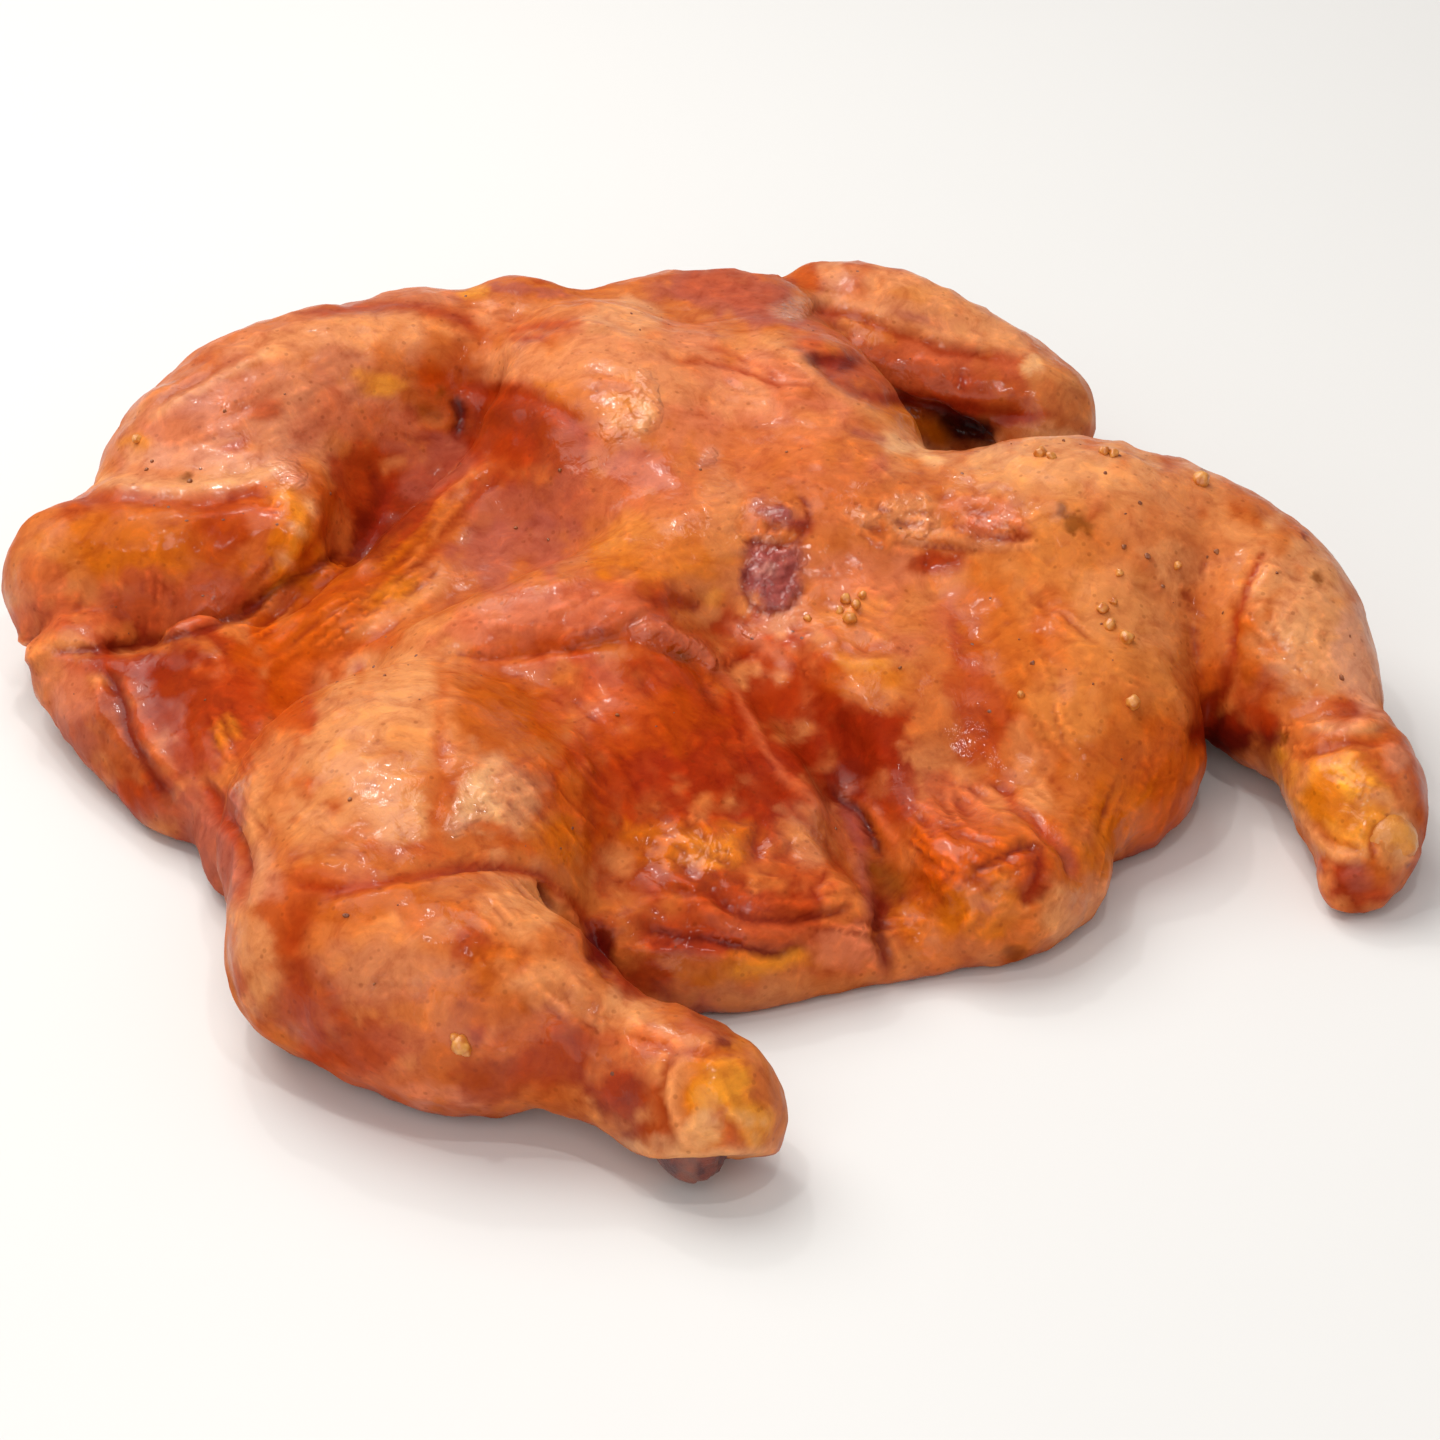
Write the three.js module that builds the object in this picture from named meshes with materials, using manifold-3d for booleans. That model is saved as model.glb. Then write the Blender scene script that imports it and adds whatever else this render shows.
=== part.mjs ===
import * as THREE from "three";
import Module from "manifold-3d";

// A roast bird opened flat, breast up. Millimetres, +Z up. The legs point
// toward -Y, so the bird's right side is at -X. The underside rests on z = 0.

// Breast
const BREAST_Z = 35;
const BREAST_RISE = 28;
// Thighs
const THIGH_Z = 20;
const THIGH_RISE = 31;
// Drumsticks: radii from the meaty end to the flared cuff round the hock
const CALF = 23.5;
const ANKLE = 13;
const CUFF = 14;
// Wings
const SHOULDER = 26;
const FOREARM = 17;
const WING_TIP = 12;
// Shank bones
const BONE_SHAFT = 4;
const BONE_KNEE = 5;
const BONE_HOCK = 7;
const BONE_SIDES = 16;
const GAP = 0.3;
// Grains of garlic stuck to the skin
const GRAIN = 1.9;
const GRAIN_SINK = 0.35;
// Facets
const CELL = 5.7;
const SPLINE_STEPS = 5;
const SETTLE_ROUNDS = 4;
const PINCH_DEPTH = 0.2;
const BASE_Z = -6;
const GRID_LOW = [-132, -112, BASE_Z - 2 * CELL];
const GRID_HIGH = [168, 196, 74];
const FAR = 60;
const CORNERS = [0, 1, 2, 3, 4, 5, 6, 7];

const radians = THREE.MathUtils.degToRad;

// Smooth union of two distances over a width k.
function softMin(a, b, k) {
  const h = Math.max(k - Math.abs(a - b), 0) / k;
  return Math.min(a, b) - h * h * k * 0.25;
}

// Ellipsoid turned about Z.
function blob([cx, cy, cz], [rx, ry, rz], { turn = 0, blend = 10, cut = false } = {}) {
  const c = Math.cos(radians(turn));
  const s = Math.sin(radians(turn));
  const reach = Math.max(rx, ry, rz) + blend;
  return {
    blend,
    cut,
    low: [cx - reach, cy - reach, cz - reach],
    high: [cx + reach, cy + reach, cz + reach],
    distance(x, y, z) {
      const u = ((x - cx) * c + (y - cy) * s) / rx;
      const v = ((y - cy) * c - (x - cx) * s) / ry;
      const w = (z - cz) / rz;
      const k0 = Math.hypot(u, v, w);
      const k1 = Math.hypot(u / rx, v / ry, w / rz);
      return k1 < 1e-6 ? -Math.min(rx, ry, rz) : (k0 * (k0 - 1)) / k1;
    },
  };
}

// Smooth path through points that each carry a radius.
function spline(points) {
  if (points.length < 3) return points;
  const first = points[0].map((value, i) => 2 * value - points[1][i]);
  const last = points.at(-1).map((value, i) => 2 * value - points.at(-2)[i]);
  const all = [first, ...points, last];
  const path = [];
  for (let i = 1; i < all.length - 2; i += 1) {
    for (let j = 0; j < SPLINE_STEPS; j += 1) {
      const t = j / SPLINE_STEPS;
      path.push(all[i].map((b, k) => {
        const a = all[i - 1][k];
        const c = all[i + 1][k];
        const d = all[i + 2][k];
        const slope = (c - a) * t;
        const bend = (2 * a - 5 * b + 4 * c - d) * t ** 2;
        return 0.5 * (2 * b + slope + bend + (3 * b - a - 3 * c + d) * t ** 3);
      }));
    }
  }
  path.push(points.at(-1));
  return path;
}

// Round limb along a smooth path of [x, y, z, radius] points.
function chain(points, { blend = 6, cut = false } = {}) {
  const path = spline(points);
  const reach = Math.max(...path.map((p) => p[3])) + blend;
  const span = (i, pick) => pick(...path.map((p) => p[i]));
  return {
    blend,
    cut,
    low: [0, 1, 2].map((i) => span(i, Math.min) - reach),
    high: [0, 1, 2].map((i) => span(i, Math.max) + reach),
    distance(x, y, z) {
      let best = FAR;
      for (let i = 0; i < path.length - 1; i += 1) {
        const [ax, ay, az, ar] = path[i];
        const [bx, by, bz, br] = path[i + 1];
        const dx = bx - ax;
        const dy = by - ay;
        const dz = bz - az;
        const along = (x - ax) * dx + (y - ay) * dy + (z - az) * dz;
        const t = THREE.MathUtils.clamp(along / (dx * dx + dy * dy + dz * dz), 0, 1);
        const off = Math.hypot(x - ax - t * dx, y - ay - t * dy, z - az - t * dz);
        best = Math.min(best, off - ar - t * (br - ar));
      }
      return best;
    },
  };
}

// The bird, from its broad back outward. A limb with cut set is a hollow.
const limbs = [
  // Back and ribs
  blob([20, 80, 8], [92, 84, 28], { turn: -16, blend: 8 }),
  blob([4, 0, 2], [62, 56, 28], { blend: 16 }),
  // Breast lobes
  blob([38, 100, BREAST_Z], [32, 50, BREAST_RISE], { turn: -14, blend: 10 }),
  blob([70, 80, BREAST_Z - 3], [29, 50, BREAST_RISE], { turn: -20, blend: 12 }),
  // Lower breast
  chain([[26, 46, 33, 18], [58, 34, 33, 20], [86, 26, 29, 20]], { blend: 16 }),
  blob([44, 4, 20], [27, 30, 17], { turn: -20, blend: 16 }),
  // Neck end
  chain([[22, 160, 33, 19.5], [50, 150, 28, 19], [78, 138, 32.5, 19.5], [92, 128, 32, 20]], { blend: 14 }),
  blob([43, 152, 40.5], [14, 10, 14], { turn: -16, blend: 9 }),
  blob([22, 150, 4], [80, 38, 27], { turn: -16, blend: 16 }),
  // Belly
  chain([[-6, 40, 25, 18], [-18, 6, 17, 19.5], [-24, -22, 9.5, 18.5], [-22, -34, 5, 14]], { blend: 14 }),
  blob([13, 42, 36], [17, 14, 13], { turn: -20, blend: 9 }),
  // Right thigh, with the meaty end of its drumstick
  blob([-67, 6, THIGH_Z - 1], [38, 48, THIGH_RISE], { turn: -25, blend: 12 }),
  chain([[-98, -19, 20.5, CALF - 3], [-92, -33, 20.5, CALF - 2.5], [-86, -44, 20, CALF - 3]], { blend: 14 }),
  // Left thigh
  blob([96, 11, THIGH_Z + 5], [36, 36, THIGH_RISE + 1], { turn: -30, blend: 12 }),
  blob([71, -25.5, 15], [26, 31, 25], { turn: -28, blend: 15 }),
  // Flaps of skin on each side of the tail notch
  chain([[-45, -34, 8, 12], [-30, -42, 9, 12], [-10, -47, 9, 12]], { blend: 8 }),
  chain([[13, -55, 11, 10.5], [27, -60, 12, 13], [39, -58, 11, 12]], { blend: 20 }),
  // Right wing: shoulder, forearm, tip and the web back to the thigh
  chain([
    [-47, 148, 20, 18], [-33, 153, 27, SHOULDER - 2], [-8, 157, 30, SHOULDER], [14, 150, 30, SHOULDER - 1],
  ], { blend: 9 }),
  chain([[-60, 138, 14, 15], [-36, 124, 16, 15]], { blend: 8 }),
  chain([[-59, 138, 27, 12], [-43, 131, 29, 12], [-30, 121, 31, 11]], { blend: 12 }),
  chain([[-76, 134, 22, FOREARM], [-56, 122, 23, FOREARM], [-39, 111, 25, FOREARM - 2]], { blend: 10 }),
  chain([[-86, 113, 13.5, WING_TIP], [-87, 92, 10.5, WING_TIP], [-87, 68, 9, WING_TIP - 1]], { blend: 4 }),
  chain([[-68, 92, 14.5, 16], [-74, 66, 12, 14], [-84.5, 40, 8, 11.5]], { blend: 9 }),
  // Left wing: shoulder tucked in, forearm, and its far side lower down
  chain([
    [101, 135, 28, FOREARM - 1], [121, 112, 26, FOREARM - 1], [142.5, 88, 20, FOREARM - 2.5],
  ], { blend: 4 }),
  chain([[116, 133, 36.5, 11.5], [127, 117, 35.5, 12.5], [140, 99, 25.5, 11.5]], { blend: 5 }),
  chain([[100, 150, 12, 15], [128, 132, 14, 16], [147, 108, 12, 14]], { blend: 18 }),
  // Right drumstick
  chain([
    [-93, -33, 21, CALF - 3], [-84, -46, 19.5, CALF - 2.5], [-77, -57, 20.5, 17], [-70, -70, 17, ANKLE],
    [-64, -82.5, 15.5, CUFF], [-62, -90.5, 14.5, CUFF], [-60.5, -93, 10.5, CUFF - 2.5],
  ], { blend: 3 }),
  // Gap between the right drumstick and the tail
  chain([[-64, -33, 30, 2], [-58, -42, 22, 3], [-52, -52, 12, 4]], { blend: 3, cut: true }),
  // Left drumstick
  chain([
    [113, 4, 27, CALF + 1], [121, -12, 24, CALF - 0.5], [117, -32, 21, CALF - 2.5],
    [112.5, -54, 16, ANKLE], [105.5, -73, 15, CUFF - 0.2], [101, -82.5, 12, CUFF - 4.5],
  ], { blend: 3 }),
  chain([[99, -84, 10, 8], [93, -88, 7, 7]], { blend: 8 }),
  // Valley between the right wing and the breast, and the ridge in front of it
  chain([[14, 126, 47, 6], [-4, 113, 37, 8], [-24, 104, 29, 6]], { blend: 14, cut: true }),
  chain([[12, 102, 38, 4], [-6, 97, 34.5, 4], [-26, 87, 29, 4], [-44, 79, 24, 5]], { blend: 16 }),
  // Fold tip over the belly
  chain([[-34, 48, 30.5, 8], [-18, 40, 35, 9.5], [-4, 28, 38, 7]], { blend: 18 }),
  // Crease under the right forearm
  chain([[-32, 97, 35, 3.5], [-48, 95, 28, 4], [-63, 97, 24, 4], [-78, 103, 21, 4]], { blend: 7, cut: true }),
  // Hollow under the left wing
  chain([[97, 114, 33, 5], [114, 103, 22, 8], [131, 92, 16, 9], [146, 86, 8, 6]], { blend: 4, cut: true }),
  // Crease down the middle of the belly to the tail notch
  chain([[14, 6, 37, 4], [16, -18, 25, 6], [8, -42, 20, 6], [5, -62, 15, 5]], { blend: 9, cut: true }),
];

// Flat cuts through the cuffs at the hocks: what lies past the plane goes,
// within reach of the point on it.
const hockCuts = [
  { point: [-65, -94, 7], normal: [-0.33, -0.5, -0.8], reach: 30 },
  { point: [95.5, -95, 5], normal: [-0.5, -0.85, -0.1], reach: 28 },
];

// Shank bones from the knee end to the hock end.
const bones = {
  shank_bone_right: { knee: [-80, -54, 19], hock: [-66, -95.5, 10.2] },
  shank_bone_left: { knee: [115, -50, 17], hock: [99.5, -89.5, 12.2] },
};

// Grains in plan: [x, y, radius].
const grains = [
  [-96, -62, GRAIN], [80, -22, GRAIN], [77, -27, GRAIN], [69, -45, GRAIN * 0.9],
  [91, 17, GRAIN * 0.9], [103, 10, GRAIN], [119, -2, GRAIN], [37, 10, GRAIN * 0.9], [-53, 151, GRAIN * 0.9],
];

function field(x, y, z) {
  let d = FAR;
  for (const limb of limbs) {
    const { low, high } = limb;
    if (x < low[0] || x > high[0] || y < low[1] || y > high[1] || z < low[2] || z > high[2]) continue;
    const own = limb.distance(x, y, z);
    d = limb.cut ? -softMin(-d, own, limb.blend) : softMin(d, own, limb.blend);
  }
  for (const { point, normal, reach } of hockCuts) {
    const off = [x - point[0], y - point[1], z - point[2]];
    const past = off[0] * normal[0] + off[1] * normal[1] + off[2] * normal[2];
    d = Math.max(d, Math.min(past, reach - Math.hypot(...off)));
  }
  return Math.max(d, BASE_Z - z);
}

// Moves a point onto the surface along the field's slope, inside its cell.
function settle([x, y, z], cellLow) {
  const e = CELL * 0.1;
  for (let round = 0; round < SETTLE_ROUNDS; round += 1) {
    const d = field(x, y, z);
    const gx = (field(x + e, y, z) - field(x - e, y, z)) / (2 * e);
    const gy = (field(x, y + e, z) - field(x, y - e, z)) / (2 * e);
    const gz = (field(x, y, z + e) - field(x, y, z - e)) / (2 * e);
    const step = THREE.MathUtils.clamp(d / (gx * gx + gy * gy + gz * gz + 1e-6), -CELL * 0.3, CELL * 0.3);
    x -= step * gx;
    y -= step * gy;
    z -= step * gz;
  }
  return [x, y, z].map((value, i) => THREE.MathUtils.clamp(value, cellLow[i], cellLow[i] + CELL));
}

// Faceted surface of the field: one point in each grid cell that it crosses,
// and one four-sided face across each grid edge that it crosses.
function surface() {
  const count = [0, 1, 2].map((i) => Math.ceil((GRID_HIGH[i] - GRID_LOW[i]) / CELL) + 1);
  const [nx, ny, nz] = count;
  const at = (i, j, k) => (i * ny + j) * nz + k;
  const values = new Float64Array(nx * ny * nz);
  for (let i = 0; i < nx; i += 1) {
    for (let j = 0; j < ny; j += 1) {
      for (let k = 0; k < nz; k += 1) {
        values[at(i, j, k)] = field(GRID_LOW[0] + i * CELL, GRID_LOW[1] + j * CELL, GRID_LOW[2] + k * CELL);
      }
    }
  }
  fillPinches(values, at, count);
  const points = [];
  const cells = new Int32Array(nx * ny * nz).fill(-1);
  for (let i = 0; i < nx - 1; i += 1) {
    for (let j = 0; j < ny - 1; j += 1) {
      for (let k = 0; k < nz - 1; k += 1) {
        const crossing = cellCrossing(values, at, i, j, k);
        if (!crossing) continue;
        cells[at(i, j, k)] = points.length / 3;
        const cellLow = [i, j, k].map((value, axis) => GRID_LOW[axis] + value * CELL);
        points.push(...settle(crossing.map((value, axis) => GRID_LOW[axis] + value * CELL), cellLow));
      }
    }
  }
  const triangles = [];
  for (let i = 1; i < nx - 1; i += 1) {
    for (let j = 1; j < ny - 1; j += 1) {
      for (let k = 1; k < nz - 1; k += 1) {
        const inside = values[at(i, j, k)] < 0;
        for (let axis = 0; axis < 3; axis += 1) {
          const next = [i, j, k];
          next[axis] += 1;
          if (inside === values[at(...next)] < 0) continue;
          const u = [0, 0, 0];
          const v = [0, 0, 0];
          u[(axis + 1) % 3] = 1;
          v[(axis + 2) % 3] = 1;
          const corner = (a, b) => cells[at(...[i, j, k].map((value, n) => value - a * u[n] - b * v[n]))];
          const face = [corner(1, 1), corner(0, 1), corner(0, 0), corner(1, 0)];
          addFace(triangles, points, inside ? face : face.reverse());
        }
      }
    }
  }
  return { points, triangles };
}

// Fills grid corners where the surface would touch itself along an edge or at
// a point, until every cell holds one sheet of it.
function fillPinches(values, at, [nx, ny, nz]) {
  const squares = [];
  for (let axis = 0; axis < 3; axis += 1) {
    const u = 1 << ((axis + 1) % 3);
    const v = 1 << ((axis + 2) % 3);
    for (const side of [0, 1 << axis]) squares.push([side, side | u, side | u | v, side | v]);
  }
  const inside = (corner) => values[corner] < 0;
  let changed = true;
  while (changed) {
    changed = false;
    for (let i = 0; i < nx - 1; i += 1) {
      for (let j = 0; j < ny - 1; j += 1) {
        for (let k = 0; k < nz - 1; k += 1) {
          const corners = CORNERS.map((n) => at(i + (n & 1), j + ((n >> 1) & 1), k + (n >> 2)));
          const crossed = squares.find(([a, b, c, d]) => inside(corners[a]) === inside(corners[c])
            && inside(corners[b]) === inside(corners[d]) && inside(corners[a]) !== inside(corners[b]));
          const filled = corners.filter(inside).length;
          const opposite = corners.some((corner, n) => inside(corner) && inside(corners[7 - n]));
          const apart = (filled === 2 && opposite) || (filled === 6 && corners.some(
            (corner, n) => !inside(corner) && !inside(corners[7 - n]),
          ));
          if (!crossed && !apart) continue;
          const open = (crossed ?? CORNERS).map((n) => corners[n]).filter((corner) => !inside(corner));
          open.sort((a, b) => values[a] - values[b]);
          values[open[0]] = -PINCH_DEPTH;
          changed = true;
        }
      }
    }
  }
}

// Mean of the places where the surface crosses the edges of one grid cell,
// in grid steps, or null where it doesn't.
function cellCrossing(values, at, i, j, k) {
  const sum = [0, 0, 0];
  let crossings = 0;
  for (const corner of CORNERS) {
    const a = [corner & 1, (corner >> 1) & 1, corner >> 2];
    const va = values[at(i + a[0], j + a[1], k + a[2])];
    for (let axis = 0; axis < 3; axis += 1) {
      if (a[axis]) continue;
      const b = [...a];
      b[axis] = 1;
      const vb = values[at(i + b[0], j + b[1], k + b[2])];
      if (va < 0 === vb < 0) continue;
      const p = [...a];
      p[axis] = va / (va - vb);
      sum.forEach((value, n) => {
        sum[n] = value + p[n];
      });
      crossings += 1;
    }
  }
  if (!crossings) return null;
  return [i + sum[0] / crossings, j + sum[1] / crossings, k + sum[2] / crossings];
}

// Splits a four-sided face along its shorter diagonal.
function addFace(triangles, points, [a, b, c, d]) {
  const span = (p, q) => Math.hypot(
    points[3 * p] - points[3 * q],
    points[3 * p + 1] - points[3 * q + 1],
    points[3 * p + 2] - points[3 * q + 2],
  );
  if (span(a, c) < span(b, d)) triangles.push(a, b, c, a, c, d);
  else triangles.push(a, b, d, b, c, d);
}

const wasm = await Module();
wasm.setup();

function solid(points, triangles) {
  return new wasm.Manifold(new wasm.Mesh({
    numProp: 3,
    vertProperties: new Float32Array(points),
    triVerts: new Uint32Array(triangles),
  }));
}

function block(low, high) {
  const geometry = new THREE.BoxGeometry(high[0] - low[0], high[1] - low[1], high[2] - low[2]);
  geometry.translate(...low.map((value, i) => (value + high[i]) / 2));
  return closed(geometry);
}

// Solid of a three.js geometry, its shared corners joined by place.
function closed(geometry) {
  const place = geometry.getAttribute("position");
  const order = geometry.index?.array ?? Array.from({ length: place.count }, (_, i) => i);
  const seen = new Map();
  const points = [];
  const joined = Array.from(order, (i) => {
    const corner = [place.getX(i), place.getY(i), place.getZ(i)];
    const key = corner.map((value) => Math.round(value * 1e4)).join();
    if (!seen.has(key)) {
      seen.set(key, points.length / 3);
      points.push(...corner);
    }
    return seen.get(key);
  });
  return solid(points, joined);
}

// Bone with a waisted shaft, knobs at both ends and a little extra all round.
function bone({ knee, hock }, extra) {
  const start = new THREE.Vector3(...knee);
  const axis = new THREE.Vector3(...hock).sub(start);
  const length = axis.length();
  const rings = [
    [-0.1, 0.55 * BONE_KNEE], [0, BONE_KNEE], [0.12, BONE_KNEE], [0.3, BONE_SHAFT], [0.7, BONE_SHAFT],
    [0.9, BONE_HOCK], [1, BONE_HOCK], [1.07, 0.75 * BONE_HOCK],
  ];
  const across = new THREE.Vector3(0, 0, 1).cross(axis).normalize();
  const up = axis.clone().cross(across).normalize();
  const points = [];
  for (const [t, radius] of rings) {
    for (let i = 0; i < BONE_SIDES; i += 1) {
      const angle = (2 * Math.PI * i) / BONE_SIDES;
      const rim = start.clone().addScaledVector(axis, t);
      rim.addScaledVector(across, Math.cos(angle) * (radius + extra));
      rim.addScaledVector(up, Math.sin(angle) * (radius + extra));
      points.push(rim.x, rim.y, rim.z);
    }
  }
  const ends = [-0.14, 1.1].map((t, i) => {
    const tip = start.clone().addScaledVector(axis, t + ((i ? 1 : -1) * extra) / length);
    points.push(tip.x, tip.y, tip.z);
    return points.length / 3 - 1;
  });
  const triangles = [];
  for (let i = 0; i < BONE_SIDES; i += 1) {
    const j = (i + 1) % BONE_SIDES;
    triangles.push(ends[0], j, i);
    for (let ring = 0; ring < rings.length - 1; ring += 1) {
      const near = ring * BONE_SIDES;
      const far = near + BONE_SIDES;
      triangles.push(near + i, near + j, far + j, near + i, far + j, far + i);
    }
    const rim = (rings.length - 1) * BONE_SIDES;
    triangles.push(ends[1], rim + i, rim + j);
  }
  return solid(points, triangles);
}

// Height of the skin over a point in plan.
function skinHeight(x, y) {
  let above = GRID_HIGH[2];
  while (field(x, y, above) > 0) above -= 0.25;
  return above;
}

function grain([x, y, radius]) {
  const geometry = new THREE.IcosahedronGeometry(radius, 0);
  geometry.rotateZ(x + y);
  geometry.translate(x, y, skinHeight(x, y) + radius * GRAIN_SINK);
  return closed(geometry);
}

// Named mesh of a solid, moved so that the origin is under the middle of the
// whole part.
function mesh(name, body, middle, material) {
  const { vertProperties, triVerts } = body.getMesh();
  const geometry = new THREE.BufferGeometry();
  geometry.setAttribute("position", new THREE.Float32BufferAttribute(vertProperties, 3));
  geometry.setIndex(new THREE.Uint32BufferAttribute(triVerts, 1));
  geometry.translate(-middle[0], -middle[1], 0);
  geometry.computeVertexNormals();
  const result = new THREE.Mesh(geometry, material);
  result.name = name;
  return result;
}

const { points, triangles } = surface();
const below = block(GRID_LOW, [GRID_HIGH[0], GRID_HIGH[1], 0]);
let bird = solid(points, triangles).subtract(below);
for (const spot of grains) bird = bird.add(grain(spot));
for (const place of Object.values(bones)) bird = bird.subtract(bone(place, GAP));

const shanks = Object.entries(bones).map(([name, place]) => [name, bone(place, 0)]);
const { min, max } = bird.boundingBox();
const middle = [(min[0] + max[0]) / 2, (min[1] + max[1]) / 2];

const skin = new THREE.MeshStandardMaterial({ color: 0xc56a3c, roughness: 0.4, metalness: 0 });
const marrow = new THREE.MeshStandardMaterial({ color: 0x7a3626, roughness: 0.55, metalness: 0 });
const part = new THREE.Group();
part.name = "spatchcock_chicken";
part.add(mesh("bird", bird, middle, skin));
for (const [name, body] of shanks) part.add(mesh(name, body, middle, marrow.clone()));

export default part;
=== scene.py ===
"""A barbecue spatchcock chicken: a whole bird opened flat, breast up, glazed and spiced.

Shapes are worked out in millimetres in the plan of the CAD part, and moved to the frame in metres.
"""

import math

import bpy
import numpy as np
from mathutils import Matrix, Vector
from mathutils.bvhtree import BVHTree


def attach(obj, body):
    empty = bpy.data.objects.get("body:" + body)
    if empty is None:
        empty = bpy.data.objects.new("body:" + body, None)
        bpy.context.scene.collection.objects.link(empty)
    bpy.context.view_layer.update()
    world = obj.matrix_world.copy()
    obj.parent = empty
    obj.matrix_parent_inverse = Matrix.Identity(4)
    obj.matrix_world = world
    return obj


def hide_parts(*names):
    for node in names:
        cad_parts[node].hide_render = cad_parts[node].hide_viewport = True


bl_info = {
    "name": "Barbecue spatchcock chicken",
    "version": (1, 0, 0),
    "blender": (4, 5, 0),
    "location": "3D View > Sidebar > Chicken",
    "description": "A glazed, spiced bird opened flat, with its shank bones, spices and stage",
    "category": "Add Mesh",
}

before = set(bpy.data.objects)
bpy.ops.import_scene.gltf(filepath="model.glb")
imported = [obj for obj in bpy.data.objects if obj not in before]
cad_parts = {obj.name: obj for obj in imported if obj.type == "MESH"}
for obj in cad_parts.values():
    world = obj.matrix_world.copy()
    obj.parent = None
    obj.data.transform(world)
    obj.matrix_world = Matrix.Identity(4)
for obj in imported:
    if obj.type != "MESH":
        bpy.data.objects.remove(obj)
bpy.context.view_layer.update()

# The frame's origin in the plan of the limbs below, and the frame's unit
PLAN_MIDDLE = np.array([21.386, 43.789, 0.0])
MM = 0.001

# Camera: the picture is square, and its middle looks at LOOK_AT
PICTURE = 1440
FOCAL = 4500
VIEW_TURN = math.radians(-33)
VIEW_LIFT = math.radians(31)
VIEW_DISTANCE = 900
LOOK_AT = np.array([0.0, 0.0, 30.0])
SENSOR = 36

# Light that the gloss adds to every colour, and the colours' gain in this light
VEIL = 0.013
LIGHT_GAIN = 0.84

BACK = np.array([
    math.sin(VIEW_TURN) * math.cos(VIEW_LIFT),
    -math.cos(VIEW_TURN) * math.cos(VIEW_LIFT),
    math.sin(VIEW_LIFT),
])
RIGHT = np.array([math.cos(VIEW_TURN), math.sin(VIEW_TURN), 0.0])
UP = np.cross(BACK, RIGHT)
EYE = LOOK_AT + BACK * VIEW_DISTANCE

# Grid of distances that the bird is drawn from, and how round its rim and its hock cuts are
SPLINE_STEPS = 4
RIM = 3.0
HOCK_RIM = 1.2
BASE_Z = -6.0
GRID_LOW = np.array([-128.0, -112.0, BASE_Z])
GRID_HIGH = np.array([166.0, 198.0, 72.0])
FAR = 50.0
VERY_FAR = 1e9

# Most triangles in the skin, and how high its underside reaches
MOST_TRIANGLES = 196000
UNDERSIDE = 1.2

# The camera sees the nearest skin in each small square of the picture, down to this depth
SIGHT_SQUARE = 6
SIGHT_DEPTH = 7

# Height of the lumps on a grain, in metres, and the most that it is turned
LUMP = 1.6 * MM
GRAIN_TURN = 6.28

# Driving sizes of the bird, as in the CAD part
BREAST_Z = 35
BREAST_RISE = 28
THIGH_Z = 20
THIGH_RISE = 31
CALF = 23.5
ANKLE = 13
CUFF = 14
SHOULDER = 26
FOREARM = 17
WING_TIP = 12
BONE_SHAFT = 4
BONE_KNEE = 5
BONE_HOCK = 7
BONE_SIDES = 40

# Random patterns: points across the lattice, and how each finer layer differs from the last
LATTICE = 64
LAYER_STEP = 2.03
LAYER_FADE = 0.55

# Seeds of the random patterns
SEEDS = {
    "grain_turn": 4,
    "flakes": 7,
    "stroke_waver": 11,
    "stroke_height": 19,
    "lumps": 21,
    "creases": 27,
    "wrinkle_edge": 30,
    "pimples": 31,
    "side_wrinkles": 43,
    "clouds": 51,
    "scorched": 57,
    "ragged": 61,
    "patch_waver": 63,
    "wet": 65,
    "sprinkled": 66,
    "spots": 67,
    "bones": 81,
    "wrinkle_bend": 140,
    "wrinkle_waves": 270,
    "wrinkle_ripples": 390,
}

# Strokes: the share of the length that fades at each end, and how far the skin reaches on
# both sides of an overlapping fold, in half widths
STROKE_END = 0.12
LIP_TOP = 3.5
LIP_FOOT = 1.8

# How sharp the wrinkles are, and the edge of a patch of them, where 1 is its oval
WRINKLE_SHARPNESS = 2.4
WRINKLE_EDGE = 1.3


def blob(centre, radii, turn=0, blend=10):
    """Ellipsoid turned about Z."""
    return {"kind": "blob", "centre": centre, "radii": radii, "turn": turn, "blend": blend, "cut": False}


def chain(points, blend=6, cut=False):
    """Round limb along a smooth path of (x, y, z, radius) points."""
    return {"kind": "chain", "points": points, "blend": blend, "cut": cut}


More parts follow.
